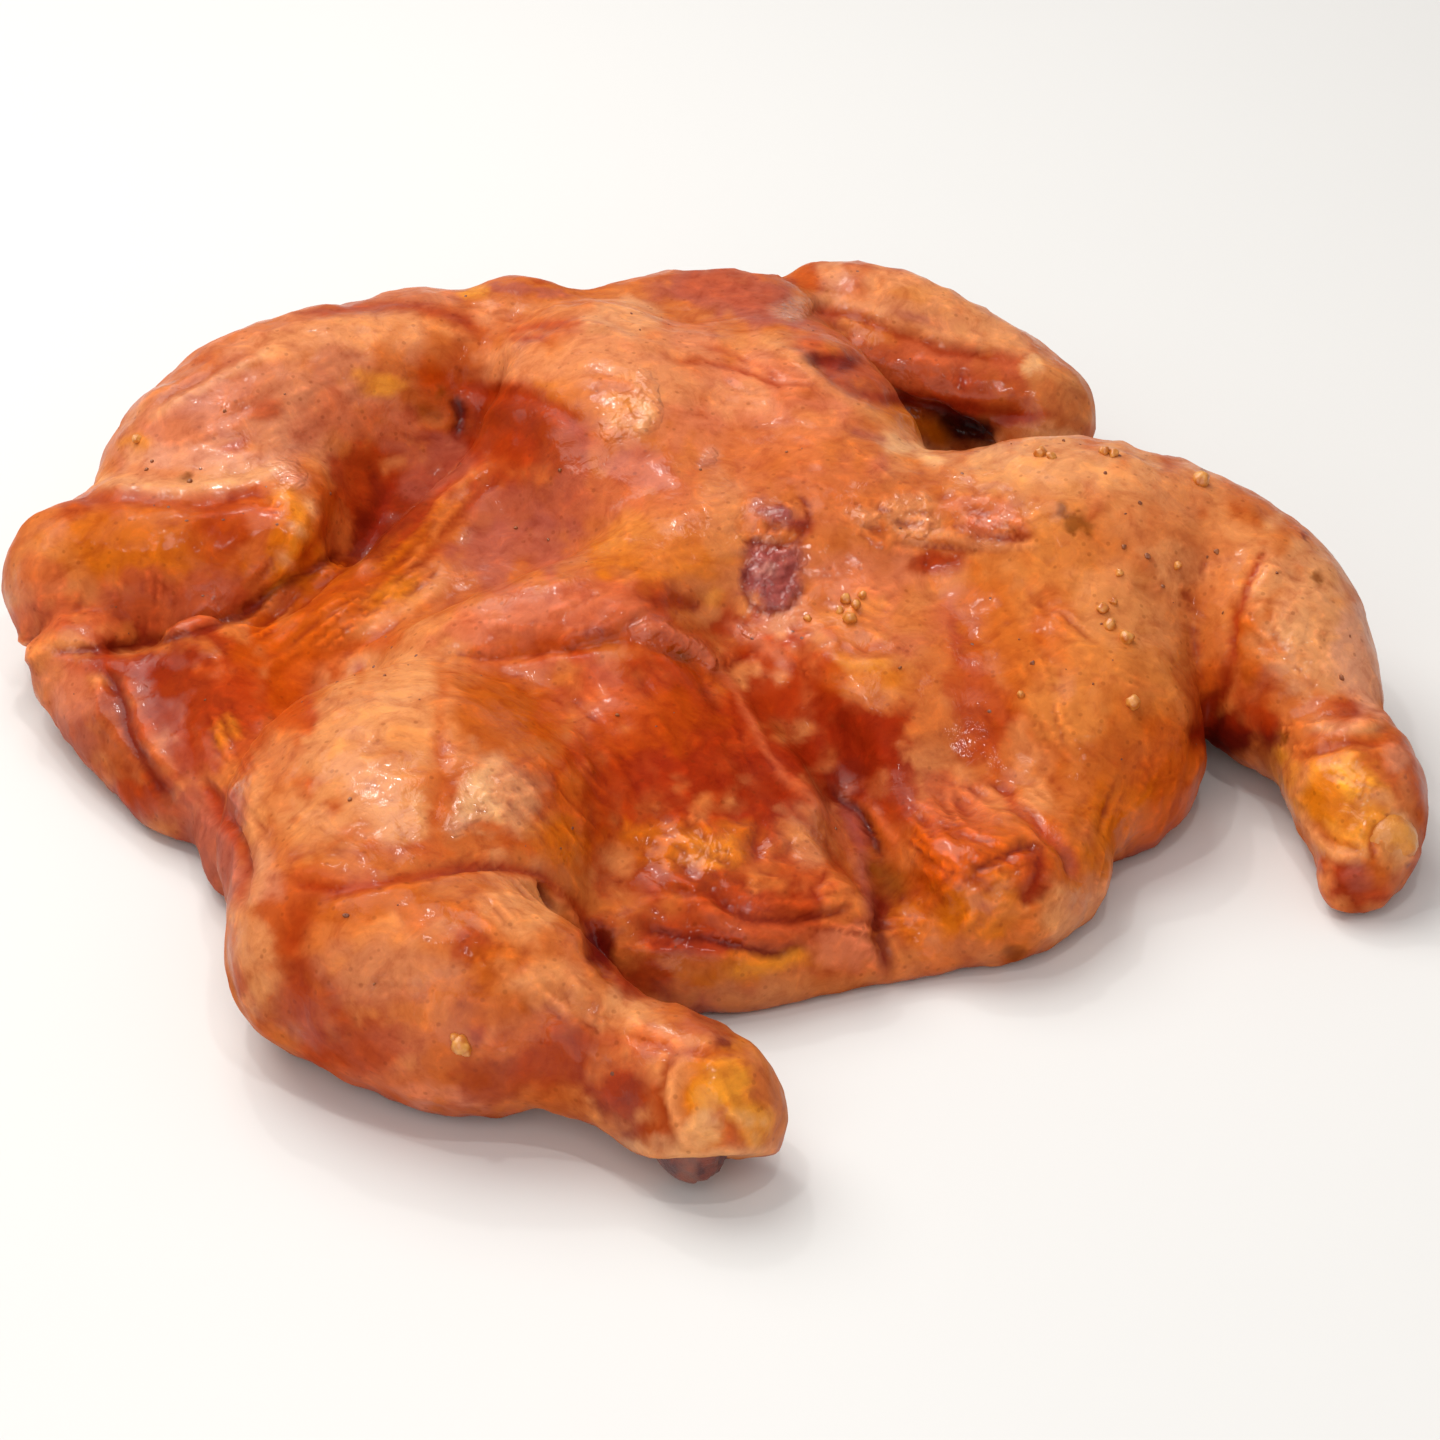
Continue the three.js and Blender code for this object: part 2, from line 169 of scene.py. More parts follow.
LIMBS = [
    # Back and ribs
    blob((20, 80, 8), (92, 84, 28), turn=-16, blend=8),
    blob((4, 0, 2), (62, 56, 28), blend=16),
    # Breast lobes
    blob((38, 100, BREAST_Z), (32, 50, BREAST_RISE), turn=-14, blend=10),
    blob((70, 80, BREAST_Z - 3), (29, 50, BREAST_RISE), turn=-20, blend=12),
    # Lower breast
    chain([(26, 46, 33, 18), (58, 34, 33, 20), (86, 26, 29, 20)], blend=16),
    blob((44, 4, 20), (27, 30, 17), turn=-20, blend=16),
    # Neck end
    chain([(22, 160, 33, 19.5), (50, 150, 28, 19), (78, 138, 32.5, 19.5), (92, 128, 32, 20)], blend=14),
    blob((43, 152, 40.5), (14, 10, 14), turn=-16, blend=9),
    blob((22, 150, 4), (80, 38, 27), turn=-16, blend=16),
    # Belly
    chain([(-6, 40, 25, 18), (-18, 6, 17, 19.5), (-24, -22, 9.5, 18.5), (-22, -34, 5, 14)], blend=14),
    blob((13, 42, 36), (17, 14, 13), turn=-20, blend=9),
    # Right thigh, with the meaty end of its drumstick
    blob((-67, 6, THIGH_Z - 1), (38, 48, THIGH_RISE), turn=-25, blend=12),
    chain([(-98, -19, 20.5, CALF - 3), (-92, -33, 20.5, CALF - 2.5), (-86, -44, 20, CALF - 3)], blend=14),
    # Left thigh
    blob((96, 11, THIGH_Z + 5), (36, 36, THIGH_RISE + 1), turn=-30, blend=12),
    blob((71, -25.5, 15), (26, 31, 25), turn=-28, blend=15),
    # Flaps of skin on each side of the tail notch
    chain([(-45, -34, 8, 12), (-30, -42, 9, 12), (-10, -47, 9, 12)], blend=8),
    chain([(13, -55, 11, 10.5), (27, -60, 12, 13), (39, -58, 11, 12)], blend=20),
    # Right wing: shoulder, forearm, tip and the web back to the thigh
    chain([
        (-47, 148, 20, 18), (-33, 153, 27, SHOULDER - 2), (-8, 157, 30, SHOULDER),
        (14, 150, 30, SHOULDER - 1),
    ], blend=9),
    chain([(-60, 138, 14, 15), (-36, 124, 16, 15)], blend=8),
    chain([(-59, 138, 27, 12), (-43, 131, 29, 12), (-30, 121, 31, 11)], blend=12),
    chain([(-76, 134, 22, FOREARM), (-56, 122, 23, FOREARM), (-39, 111, 25, FOREARM - 2)], blend=10),
    chain([(-86, 113, 13.5, WING_TIP), (-87, 92, 10.5, WING_TIP), (-87, 68, 9, WING_TIP - 1)], blend=4),
    chain([(-68, 92, 14.5, 16), (-74, 66, 12, 14), (-84.5, 40, 8, 11.5)], blend=9),
    # Left wing: shoulder tucked in, forearm, and its far side lower down
    chain([
        (101, 135, 28, FOREARM - 1), (121, 112, 26, FOREARM - 1), (142.5, 88, 20, FOREARM - 2.5),
    ], blend=4),
    chain([(116, 133, 36.5, 11.5), (127, 117, 35.5, 12.5), (140, 99, 25.5, 11.5)], blend=5),
    chain([(100, 150, 12, 15), (128, 132, 14, 16), (147, 108, 12, 14)], blend=18),
    # Right drumstick
    chain([
        (-93, -33, 21, CALF - 3), (-84, -46, 19.5, CALF - 2.5), (-77, -57, 20.5, 17), (-70, -70, 17, ANKLE),
        (-64, -82.5, 15.5, CUFF), (-62, -90.5, 14.5, CUFF), (-60.5, -93, 10.5, CUFF - 2.5),
    ], blend=3),
    # Gap between the right drumstick and the tail
    chain([(-64, -33, 30, 2), (-58, -42, 22, 3), (-52, -52, 12, 4)], blend=3, cut=True),
    # Left drumstick
    chain([
        (113, 4, 27, CALF + 1), (121, -12, 24, CALF - 0.5), (117, -32, 21, CALF - 2.5),
        (112.5, -54, 16, ANKLE), (105.5, -73, 15, CUFF - 0.2), (101, -82.5, 12, CUFF - 4.5),
    ], blend=3),
    chain([(99, -84, 10, 8), (93, -88, 7, 7)], blend=8),
    # Valley between the right wing and the breast, and the ridge in front of it
    chain([(14, 126, 47, 6), (-4, 113, 37, 8), (-24, 104, 29, 6)], blend=14, cut=True),
    chain([(12, 102, 38, 4), (-6, 97, 34.5, 4), (-26, 87, 29, 4), (-44, 79, 24, 5)], blend=16),
    # Fold tip over the belly
    chain([(-34, 48, 30.5, 8), (-18, 40, 35, 9.5), (-4, 28, 38, 7)], blend=18),
    # Crease under the right forearm
    chain([(-32, 97, 35, 3.5), (-48, 95, 28, 4), (-63, 97, 24, 4), (-78, 103, 21, 4)], blend=7, cut=True),
    # Hollow under the left wing
    chain([(97, 114, 33, 5), (114, 103, 22, 8), (131, 92, 16, 9), (146, 86, 8, 6)], blend=4, cut=True),
    # Crease down the middle of the belly to the tail notch
    chain([(14, 6, 37, 4), (16, -18, 25, 6), (8, -42, 20, 6), (5, -62, 15, 5)], blend=9, cut=True),
]

# Flat cuts at the hocks: what lies past the plane goes, within reach of its point
HOCK_CUTS = [
    {"point": (-65, -94, 7), "normal": (-0.33, -0.5, -0.8), "reach": 30},
    {"point": (95.5, -95, 5), "normal": (-0.5, -0.85, -0.1), "reach": 28},
]

BONES = {
    "shank_bone_right": {"knee": (-80, -54, 19), "hock": (-66, -95.5, 10.2)},
    "shank_bone_left": {"knee": (115, -50, 17), "hock": (99.5, -89.5, 12.2)},
}

# Colours of the bones as they show: hollows, crowns and rim. The left one ends in cartilage.
BONE_COLOURS = {
    "shank_bone_right": ((84, 28, 20), (134, 60, 42), (150, 96, 76)),
    "shank_bone_left": ((208, 118, 30), (230, 144, 50), (236, 160, 80)),
}

# Lights: places and widths in metres. The glaze glints in the small ones.
LIGHT_TARGET = (0, 0, 0.03)
KEY_PLACE = (-0.15, 0.5, 0.9)
FILL_PLACE = (-0.6, -0.7, 0.5)
SOFT_WIDTH = 1.0
GLINTS = {
    "glint_behind": (0.05, 0.55, 0.85),
    "glint_above": (-0.3, 0.0, 0.95),
    "glint_before": (-0.12, -0.4, 0.88),
}
GLINT_WIDTH = 0.045
KEY_COLOUR = (1, 0.97, 0.93)
DAYLIGHT = (1, 0.98, 0.96)

# Colours of the spices and the floor: dark and light
GARLIC_COLOURS = ((202, 106, 34), (234, 162, 78))
HERB_COLOURS = ((128, 64, 28), (168, 98, 50))
PEPPER_COLOURS = ((110, 52, 24), (150, 80, 40))
FLOOR_COLOURS = ((238, 237, 235), (244, 243, 241))

# Colours of the skin, as they show in daylight
GROUND = (206, 110, 56)
# Painted shade in hollows and near the floor, and glaze gathered in the hollows
VALLEY_GLAZE_AND_SHADE = (142, 42, 14)
BROWNED = (206, 124, 80)
PORE = (120, 52, 26)
CREAM = (240, 178, 124)
PEACH = (231, 152, 96)
TAN = (214, 128, 66)
PINK = (222, 126, 88)
SALMON = (208, 104, 66)
MAUVE = (178, 92, 74)
PLUM = (158, 78, 74)
GOLD = (236, 150, 50)
AMBER = (216, 116, 22)
ORANGE = (206, 88, 14)
RUST = (182, 64, 14)
BRICK = (172, 62, 32)
RED = (156, 50, 8)
WINE = (120, 42, 16)
# Painted shade in holes and deep crevices
CREVICE_SHADE = (60, 20, 8)
OLIVE = (134, 72, 34)
ROSE = (212, 132, 98)
BLUSH = (228, 156, 122)
WHEAT = (214, 132, 74)
UMBER = (138, 50, 14)
CLAY = (196, 90, 54)
FLESH = (214, 120, 68)
HONEY = (200, 98, 38)
OCHRE = (194, 90, 20)
SIENNA = (168, 66, 28)
# Painted highlight: a pale glint colour laid faintly on the wettest spots
PAINTED_HIGHLIGHT = (255, 214, 190)
MAHOGANY = (150, 52, 30)
# Painted shadow in the gaps between the legs and the body
GAP_SHADE = (104, 18, 6)


def patch(x, y, wide, high, colour, strength=0.8, turn=0, gloss=0.0):
    """Oval of colour in the picture: middle and radii in pixels, turn in
    degrees, and how much wetter and more crinkled, or drier, than the rest it is."""
    return {"middle": (x, y), "radii": (wide, high), "turn": turn, "colour": colour, "strength": strength,
            "gloss": gloss}


def spot(x, y, wide, high, colour, turn=0):
    """Small oval with a crisp edge: middle and radii in pixels, turn in degrees."""
    return {"middle": (x, y), "radii": (wide, high), "turn": turn, "colour": colour}


def stroke(line, width, height=0.0, colour=None, strength=0.6):
    """Line in the picture: points and half width in pixels, height in
    millimetres, which is negative for a crease, and its colour."""
    return {"line": line, "width": width, "height": height, "colour": colour, "strength": strength}


def wrinkles(x, y, wide, high, heading, length, width, height):
    """Oval of fine wrinkles: middle and radii in pixels, heading in degrees up
    from the right, length and width of one wrinkle in pixels, height in millimetres."""
    return {"middle": (x, y), "radii": (wide, high), "heading": heading, "grain": (length, width),
            "height": height}


WRINKLES = [
    # Belly and tail
    wrinkles(640, 760, 110, 110, -55, 110, 11, 0.55),
    wrinkles(780, 730, 80, 90, -60, 120, 12, 0.5),
    wrinkles(700, 850, 90, 50, -15, 34, 11, 1.0),
    wrinkles(750, 925, 150, 45, -4, 60, 10, 0.9),
    wrinkles(980, 830, 80, 60, -30, 50, 9, 1.0),
    wrinkles(990, 910, 80, 50, 30, 40, 11, 0.9),
    # Right leg
    wrinkles(510, 930, 70, 70, -38, 70, 8, 0.5),
    wrinkles(560, 800, 70, 90, -52, 90, 9, 0.6),
    wrinkles(500, 790, 50, 40, -30, 24, 10, 0.8),
    wrinkles(380, 760, 100, 120, -8, 60, 12, 0.25),
    wrinkles(580, 1010, 80, 50, -35, 34, 10, 0.7),
    wrinkles(720, 1090, 60, 60, -55, 60, 11, 0.5),
    wrinkles(230, 820, 50, 110, -66, 110, 10, 1.0),
    wrinkles(400, 990, 120, 90, -10, 40, 12, 0.25),
    # Left leg
    wrinkles(1040, 690, 60, 110, -60, 110, 9, 0.6),
    wrinkles(1140, 820, 80, 90, 74, 130, 9, 0.6),
    wrinkles(1185, 570, 50, 34, -20, 20, 9, 0.3),
    wrinkles(1290, 640, 50, 70, -40, 22, 9, 0.5),
    wrinkles(1340, 735, 60, 30, 12, 60, 8, 0.9),
    wrinkles(1350, 815, 60, 50, -25, 40, 10, 0.7),
    wrinkles(1120, 600, 120, 120, -30, 30, 11, 0.25),
    # Breast and fold
    wrinkles(745, 370, 130, 45, -16, 120, 9, 0.5),
    wrinkles(860, 460, 90, 40, -28, 60, 9, 0.4),
    wrinkles(940, 520, 100, 38, -8, 36, 10, 1.2),
    wrinkles(560, 600, 110, 60, 14, 110, 12, 0.5),
    wrinkles(690, 540, 110, 60, 30, 50, 12, 0.4),
    wrinkles(850, 620, 60, 50, -20, 30, 10, 0.6),
    wrinkles(775, 548, 32, 56, 20, 14, 7, 0.8),
    # Right wing
    wrinkles(345, 610, 120, 60, 36, 120, 8, 0.9),
    wrinkles(300, 525, 44, 50, 50, 40, 8, 0.6),
    wrinkles(120, 590, 110, 50, 80, 50, 11, 0.5),
    wrinkles(230, 400, 150, 90, 24, 110, 12, 0.5),
    wrinkles(120, 740, 60, 90, -60, 80, 12, 0.5),
    # Left wing and neck end
    wrinkles(930, 310, 110, 40, -22, 110, 11, 0.5),
    wrinkles(920, 375, 110, 30, -16, 60, 12, 0.4),
    wrinkles(560, 315, 110, 24, -6, 50, 9, 0.8),
]

STROKES = [
    # Crease between the right thigh and drumstick
    stroke(
        [(300, 884), (345, 889), (391, 881), (430, 874), (468, 866), (506, 868), (537, 877), (567, 900),
        (587, 923), (592, 948)], 6, -1.3, RUST, 0.8),
    stroke([(300, 872), (345, 872), (430, 858), (506, 852), (560, 878), (600, 920)], 13, 0.7),
    stroke(
        [(315, 900), (296, 925), (294, 954), (300, 992), (315, 1034), (335, 1070)], 15, -0.7, BRICK, 0.75),
    # Painted shadow in the gap between the right drumstick and the tail, along a crease
    stroke([(592, 930), (600, 950), (614, 975)], 10, -2.0, GAP_SHADE, 0.9),
    stroke([(614, 975), (640, 990), (675, 1000)], 12, -1.0, RED, 0.7),
    stroke([(500, 985), (540, 975), (580, 985), (610, 1005), (660, 1004)], 8, 0.7, PEACH, 0.5),
    stroke([(632, 1036), (675, 1050), (705, 1053), (740, 1052)], 6, -0.9, ORANGE, 0.7),
    stroke([(690, 1010), (712, 1020), (735, 1044)], 9, -0.6, WINE, 0.6),
    stroke([(682, 1052), (672, 1082), (674, 1112), (686, 1142)], 5, 0.5, PEACH, 0.6),
    stroke([(672, 1056), (662, 1084), (664, 1112), (674, 1144)], 5, -0.6, SIENNA, 0.7),
    stroke([(622, 1143), (659, 1154), (700, 1155), (768, 1150)], 6, 0.4, CREAM, 0.7),
    stroke([(439, 665), (441, 720), (440, 780), (432, 838)], 6, -0.35, ORANGE, 0.4),
    # Skin between the right thigh and wing
    stroke([(277, 681), (300, 661), (350, 650), (395, 638)], 9, -0.7, ORANGE, 0.7),
    stroke([(205, 790), (232, 830), (248, 868), (240, 905)], 7, -1.1, BRICK, 0.7),
    stroke([(262, 770), (250, 820), (262, 860), (252, 900)], 7, 0.8, PEACH, 0.5),
    stroke([(182, 720), (200, 770), (222, 810), (236, 850)], 9, -0.9, BRICK, 0.6),
    stroke([(123, 677), (138, 717), (166, 764), (190, 796)], 7, 0.9, SALMON, 0.4),
    stroke([(95, 662), (115, 685), (130, 733), (146, 764), (168, 800)], 7, -1.5, WINE, 0.85),
    # Right wing
    stroke(
        [(57, 650), (107, 647), (150, 641), (190, 633), (237, 614), (269, 594), (300, 574), (335, 556)],
        6, -1.4, WINE, 0.85),
    stroke([(26, 632), (30, 646), (38, 660)], 10, 2.2),
    stroke([(60, 664), (100, 666), (140, 662)], 9, 0.9, RUST, 0.5),
    stroke([(272, 486), (292, 500), (300, 530), (288, 562), (270, 590)], 8, 0.5, GOLD, 0.5),
    stroke([(318, 478), (328, 500), (322, 535), (300, 572)], 6, -0.6, ORANGE, 0.6),
    stroke([(305, 500), (314, 515)], 5, 0.4, CREAM, 0.6),
    stroke([(290, 525), (304, 535)], 5, 0.4, CREAM, 0.6),
    stroke([(278, 552), (290, 565)], 5, 0.4, CREAM, 0.6),
    # Painted highlight along the top edge of the right forearm, on a low ridge
    stroke([(90, 478), (140, 485), (190, 487), (250, 476), (282, 466)], 7, 0.5, CREAM, 0.45),
    stroke([(88, 500), (130, 499), (200, 503), (262, 490)], 7, -0.8, BRICK, 0.5),
    stroke([(221, 448), (236, 446), (248, 440)], 7, -0.3, BRICK, 0.8),
    stroke([(152, 415), (186, 395), (228, 372), (274, 350)], 5, 0.4, CREAM, 0.45),
    stroke([(160, 404), (196, 382), (240, 358)], 5, -0.4, BRICK, 0.4),
    # Painted highlight on the right wrist, on a low ridge
    stroke([(272, 460), (288, 472), (296, 484), (306, 476)], 5, 0.6, BLUSH, 0.5),
    stroke([(370, 470), (380, 500), (366, 530), (352, 556)], 9, -1.2, WINE, 0.8),
    stroke([(392, 478), (384, 510), (366, 545)], 6, -0.6, RED, 0.6),
    stroke([(489, 464), (466, 482), (443, 499), (427, 526), (397, 556), (372, 572)], 4, 0.6, AMBER, 0.4),
    stroke([(478, 490), (452, 512), (436, 536), (410, 562)], 3, 0.3, AMBER, 0.2),
    stroke([(462, 478), (436, 498), (416, 526), (392, 550)], 3, -0.5, RUST, 0.5),
    stroke([(500, 478), (470, 505), (446, 535), (420, 566)], 7, -0.7, BRICK, 0.5),
    stroke([(356, 634), (390, 615), (415, 602), (447, 578)], 8, 0.7, PEACH, 0.6),
    stroke([(300, 610), (340, 590), (380, 572)], 7, -0.6, RUST, 0.4),
    # Painted shade in the dark hole where the fold opens, along a crease
    stroke([(457, 398), (460, 415), (456, 434)], 8, -1.6, CREVICE_SHADE, 0.8),
    stroke([(420, 408), (440, 415)], 8, -0.3, OLIVE, 0.5),
    # Neck end
    stroke([(305, 315), (351, 307), (397, 307), (427, 311), (458, 319), (481, 334)], 7, -0.6, BRICK, 0.8),
    stroke([(300, 326), (360, 320), (420, 323), (470, 340)], 6, 0.4, PEACH, 0.5),
    stroke([(512, 330), (540, 324), (568, 322)], 5, -0.5, RUST, 0.7),
    stroke([(512, 338), (545, 336)], 4, -0.4, RUST, 0.6),
    stroke([(480, 306), (520, 308), (560, 308), (600, 312)], 8, 0.6, PEACH, 0.4),
    # Breast
    stroke([(410, 378), (455, 384), (500, 394), (540, 402), (575, 424), (607, 455)], 9, -0.8, RUST, 0.5),
    stroke([(669, 359), (700, 363), (734, 370), (785, 388)], 4, -0.5, RUST, 0.5),
    stroke([(700, 345), (740, 358), (778, 378)], 4, -0.4, RUST, 0.4),
    stroke([(756, 334), (785, 350), (811, 370), (840, 392), (869, 410), (923, 443)], 7, 0.7, PEACH, 0.6),
    stroke([(851, 428), (868, 434), (887, 443)], 5, -0.5, MAUVE, 0.7),
    # Painted highlight on the breast, on a low ridge
    stroke([(640, 400), (648, 414), (640, 432)], 6, 0.5, CREAM, 0.6),
    # Fold over the belly
    stroke(
        [(470, 650), (520, 650), (560, 645), (600, 640), (640, 640), (690, 660), (720, 690)], 9, -1.4,
        ORANGE, 0.6),
    stroke([(480, 628), (540, 612), (590, 604), (632, 606), (642, 620)], 11, 0.8, PINK, 0.3),
    # Painted highlight along the fold's lower edge, on a raised ridge
    stroke([(634, 629), (660, 628), (684, 640), (698, 650), (711, 667)], 6, 0.9, PINK, 0.5),
    stroke([(674, 650), (690, 656)], 5, -0.5, OLIVE, 0.7),
    stroke([(646, 596), (675, 601), (705, 606)], 10, -1.1, RED, 0.5),
    stroke([(580, 634), (606, 630)], 6, -0.4, PLUM, 0.7),
    # Painted highlight along the fold's lower edge, on a raised ridge
    stroke([(730, 626), (750, 633), (766, 648), (788, 662)], 6, 0.6, PINK, 0.7),
    # Blisters beside the fold
    stroke([(760, 516), (776, 512), (794, 516)], 13, 0.9),
    stroke([(772, 562), (774, 592)], 20, 0.9),
    stroke([(800, 496), (808, 520), (800, 540)], 4, -0.6, UMBER, 0.8),
    stroke([(748, 540), (775, 546), (802, 542)], 4, -0.6, UMBER, 0.7),
    stroke([(746, 560), (746, 590), (760, 610), (786, 610), (802, 590)], 4, -0.5, WINE, 0.7),
    # Belly
    stroke([(718, 660), (746, 712), (767, 750), (787, 781)], 4, 0.6, SALMON, 0.6),
    stroke([(704, 690), (712, 705), (720, 712)], 5, -0.6, WINE, 0.5),
    stroke([(780, 774), (801, 788), (835, 826), (853, 860)], 6, 0.9, SALMON, 0.7),
    stroke([(772, 786), (792, 808), (820, 836), (846, 880)], 6, -0.8, RED, 0.6),
    # Painted shade down the tail notch, along a crease
    stroke([(829, 788), (856, 812), (871, 833), (881, 854)], 6, -1.6, CREVICE_SHADE, 0.75),
    stroke([(842, 808), (860, 840), (864, 883), (873, 926)], 6, 0.8, PLUM, 0.7),
    stroke([(880, 890), (880, 936), (888, 969)], 9, -1.6, WINE, 0.85),
    stroke([(871, 862), (886, 878), (898, 892)], 12, -1.2, OLIVE, 0.8),
    stroke([(872, 806), (885, 826), (897, 842)], 5, 0.6, SALMON, 0.6),
    stroke([(757, 818), (756, 840), (762, 862)], 7, -0.7, BRICK, 0.6),
    # Tail flaps
    stroke([(717, 901), (746, 915), (774, 922), (817, 915), (846, 908)], 6, -1.1, WINE, 0.7),
    stroke([(640, 925), (678, 935), (721, 940), (774, 954), (803, 947)], 6, -1.1, WINE, 0.7),
    stroke([(700, 912), (730, 924), (770, 934), (812, 928)], 6, 0.7, SALMON, 0.5),
    stroke([(820, 905), (812, 890), (830, 872)], 5, -0.7, RED, 0.6),
    stroke([(731, 972), (770, 966), (803, 954)], 7, 0.6, GOLD, 0.6),
    stroke([(971, 869), (999, 858), (1017, 847), (1039, 847)], 6, -1.1, WINE, 0.7),
    stroke([(1039, 854), (1035, 883), (1026, 904)], 7, -1.2, RED, 0.8),
    stroke([(1046, 886), (1040, 900)], 6, -0.6, WINE, 0.6),
    stroke([(1003, 790), (1035, 826), (1067, 854), (1074, 880)], 7, -1.4, RUST, 0.7),
    stroke([(1050, 830), (1064, 850), (1071, 872)], 5, -0.8, MAUVE, 0.6),
    stroke([(914, 812), (935, 822), (965, 836)], 6, -0.6, BRICK, 0.5),
    stroke([(1040, 786), (1050, 800)], 4, 0.5, PEACH, 0.6),
    stroke([(1030, 790), (1042, 806)], 4, 0.5, PEACH, 0.6),
    # Skin between the breast and the left thigh
    stroke([(939, 509), (973, 498), (1008, 509), (1025, 533)], 6, 0.8, SALMON, 0.6),
    stroke([(973, 540), (1000, 542), (1028, 536)], 6, -0.8, RED, 0.7),
    stroke([(904, 543), (939, 536), (990, 546), (1032, 545)], 5, 0.6, PEACH, 0.6),
    stroke([(918, 562), (940, 560), (966, 556)], 9, -0.8, BRICK, 0.8),
    stroke([(835, 655), (860, 666), (890, 662)], 5, 0.5, GOLD, 0.5),
    stroke([(838, 640), (860, 650), (884, 644)], 5, -0.4, RUST, 0.4),
    # Left leg
    stroke([(1265, 551), (1252, 573), (1242, 605), (1234, 637), (1230, 662)], 5, -1.0, RUST, 0.7),
    stroke([(1230, 662), (1220, 691), (1207, 717), (1199, 745)], 10, -1.8, RED, 0.8),
    stroke([(1276, 560), (1262, 590), (1252, 625)], 10, 0.5),
    stroke([(1309, 739), (1344, 717), (1360, 707)], 5, -0.7, BRICK, 0.5),
    stroke([(1300, 757), (1322, 748), (1351, 742), (1386, 741)], 6, -1.1, BRICK, 0.6),
    stroke([(1310, 728), (1345, 728), (1378, 724)], 6, 0.6, CREAM, 0.5),
    stroke([(1300, 812), (1316, 834), (1336, 854), (1356, 857), (1368, 846)], 5, 0.7, PEACH, 0.8),
    stroke([(1318, 822), (1332, 838), (1352, 846)], 5, -0.5, OCHRE, 0.6),
    stroke([(1372, 856), (1372, 834), (1386, 824), (1404, 808)], 4, -0.7, OCHRE, 0.8),
    stroke([(1396, 812), (1403, 830), (1400, 856)], 8, 0.3, CREAM, 0.75),
    stroke([(1384, 828), (1372, 842), (1376, 864)], 4, -0.6, ORANGE, 0.6),
    stroke([(1332, 702), (1348, 704), (1357, 708)], 8, -0.3, BRICK, 0.6),
    # Left wing
    stroke(
        [(811, 312), (851, 315), (876, 323), (923, 341), (945, 352), (1000, 360)], 5, -0.8, BRICK, 0.8),
    stroke([(800, 296), (850, 304), (900, 322), (950, 338), (1010, 344)], 8, 0.6, PEACH, 0.5),
    stroke([(812, 360), (833, 362), (856, 362)], 8, -1.4, WINE, 0.85),
    stroke([(822, 368), (840, 384), (866, 398)], 8, -1.0, RED, 0.7),
    stroke([(958, 380), (968, 386)], 8, -0.7, RED, 0.7),
    stroke([(875, 402), (920, 406), (990, 410), (1030, 416)], 8, -1.0, RED, 0.7),
    # Painted shade in the hole under the left wing, along a crease
    stroke([(936, 420), (965, 430), (994, 424)], 12, -1.6, CREVICE_SHADE, 1.0),
    stroke([(884, 412), (915, 420), (945, 438)], 8, 0.9, AMBER, 0.9),
]

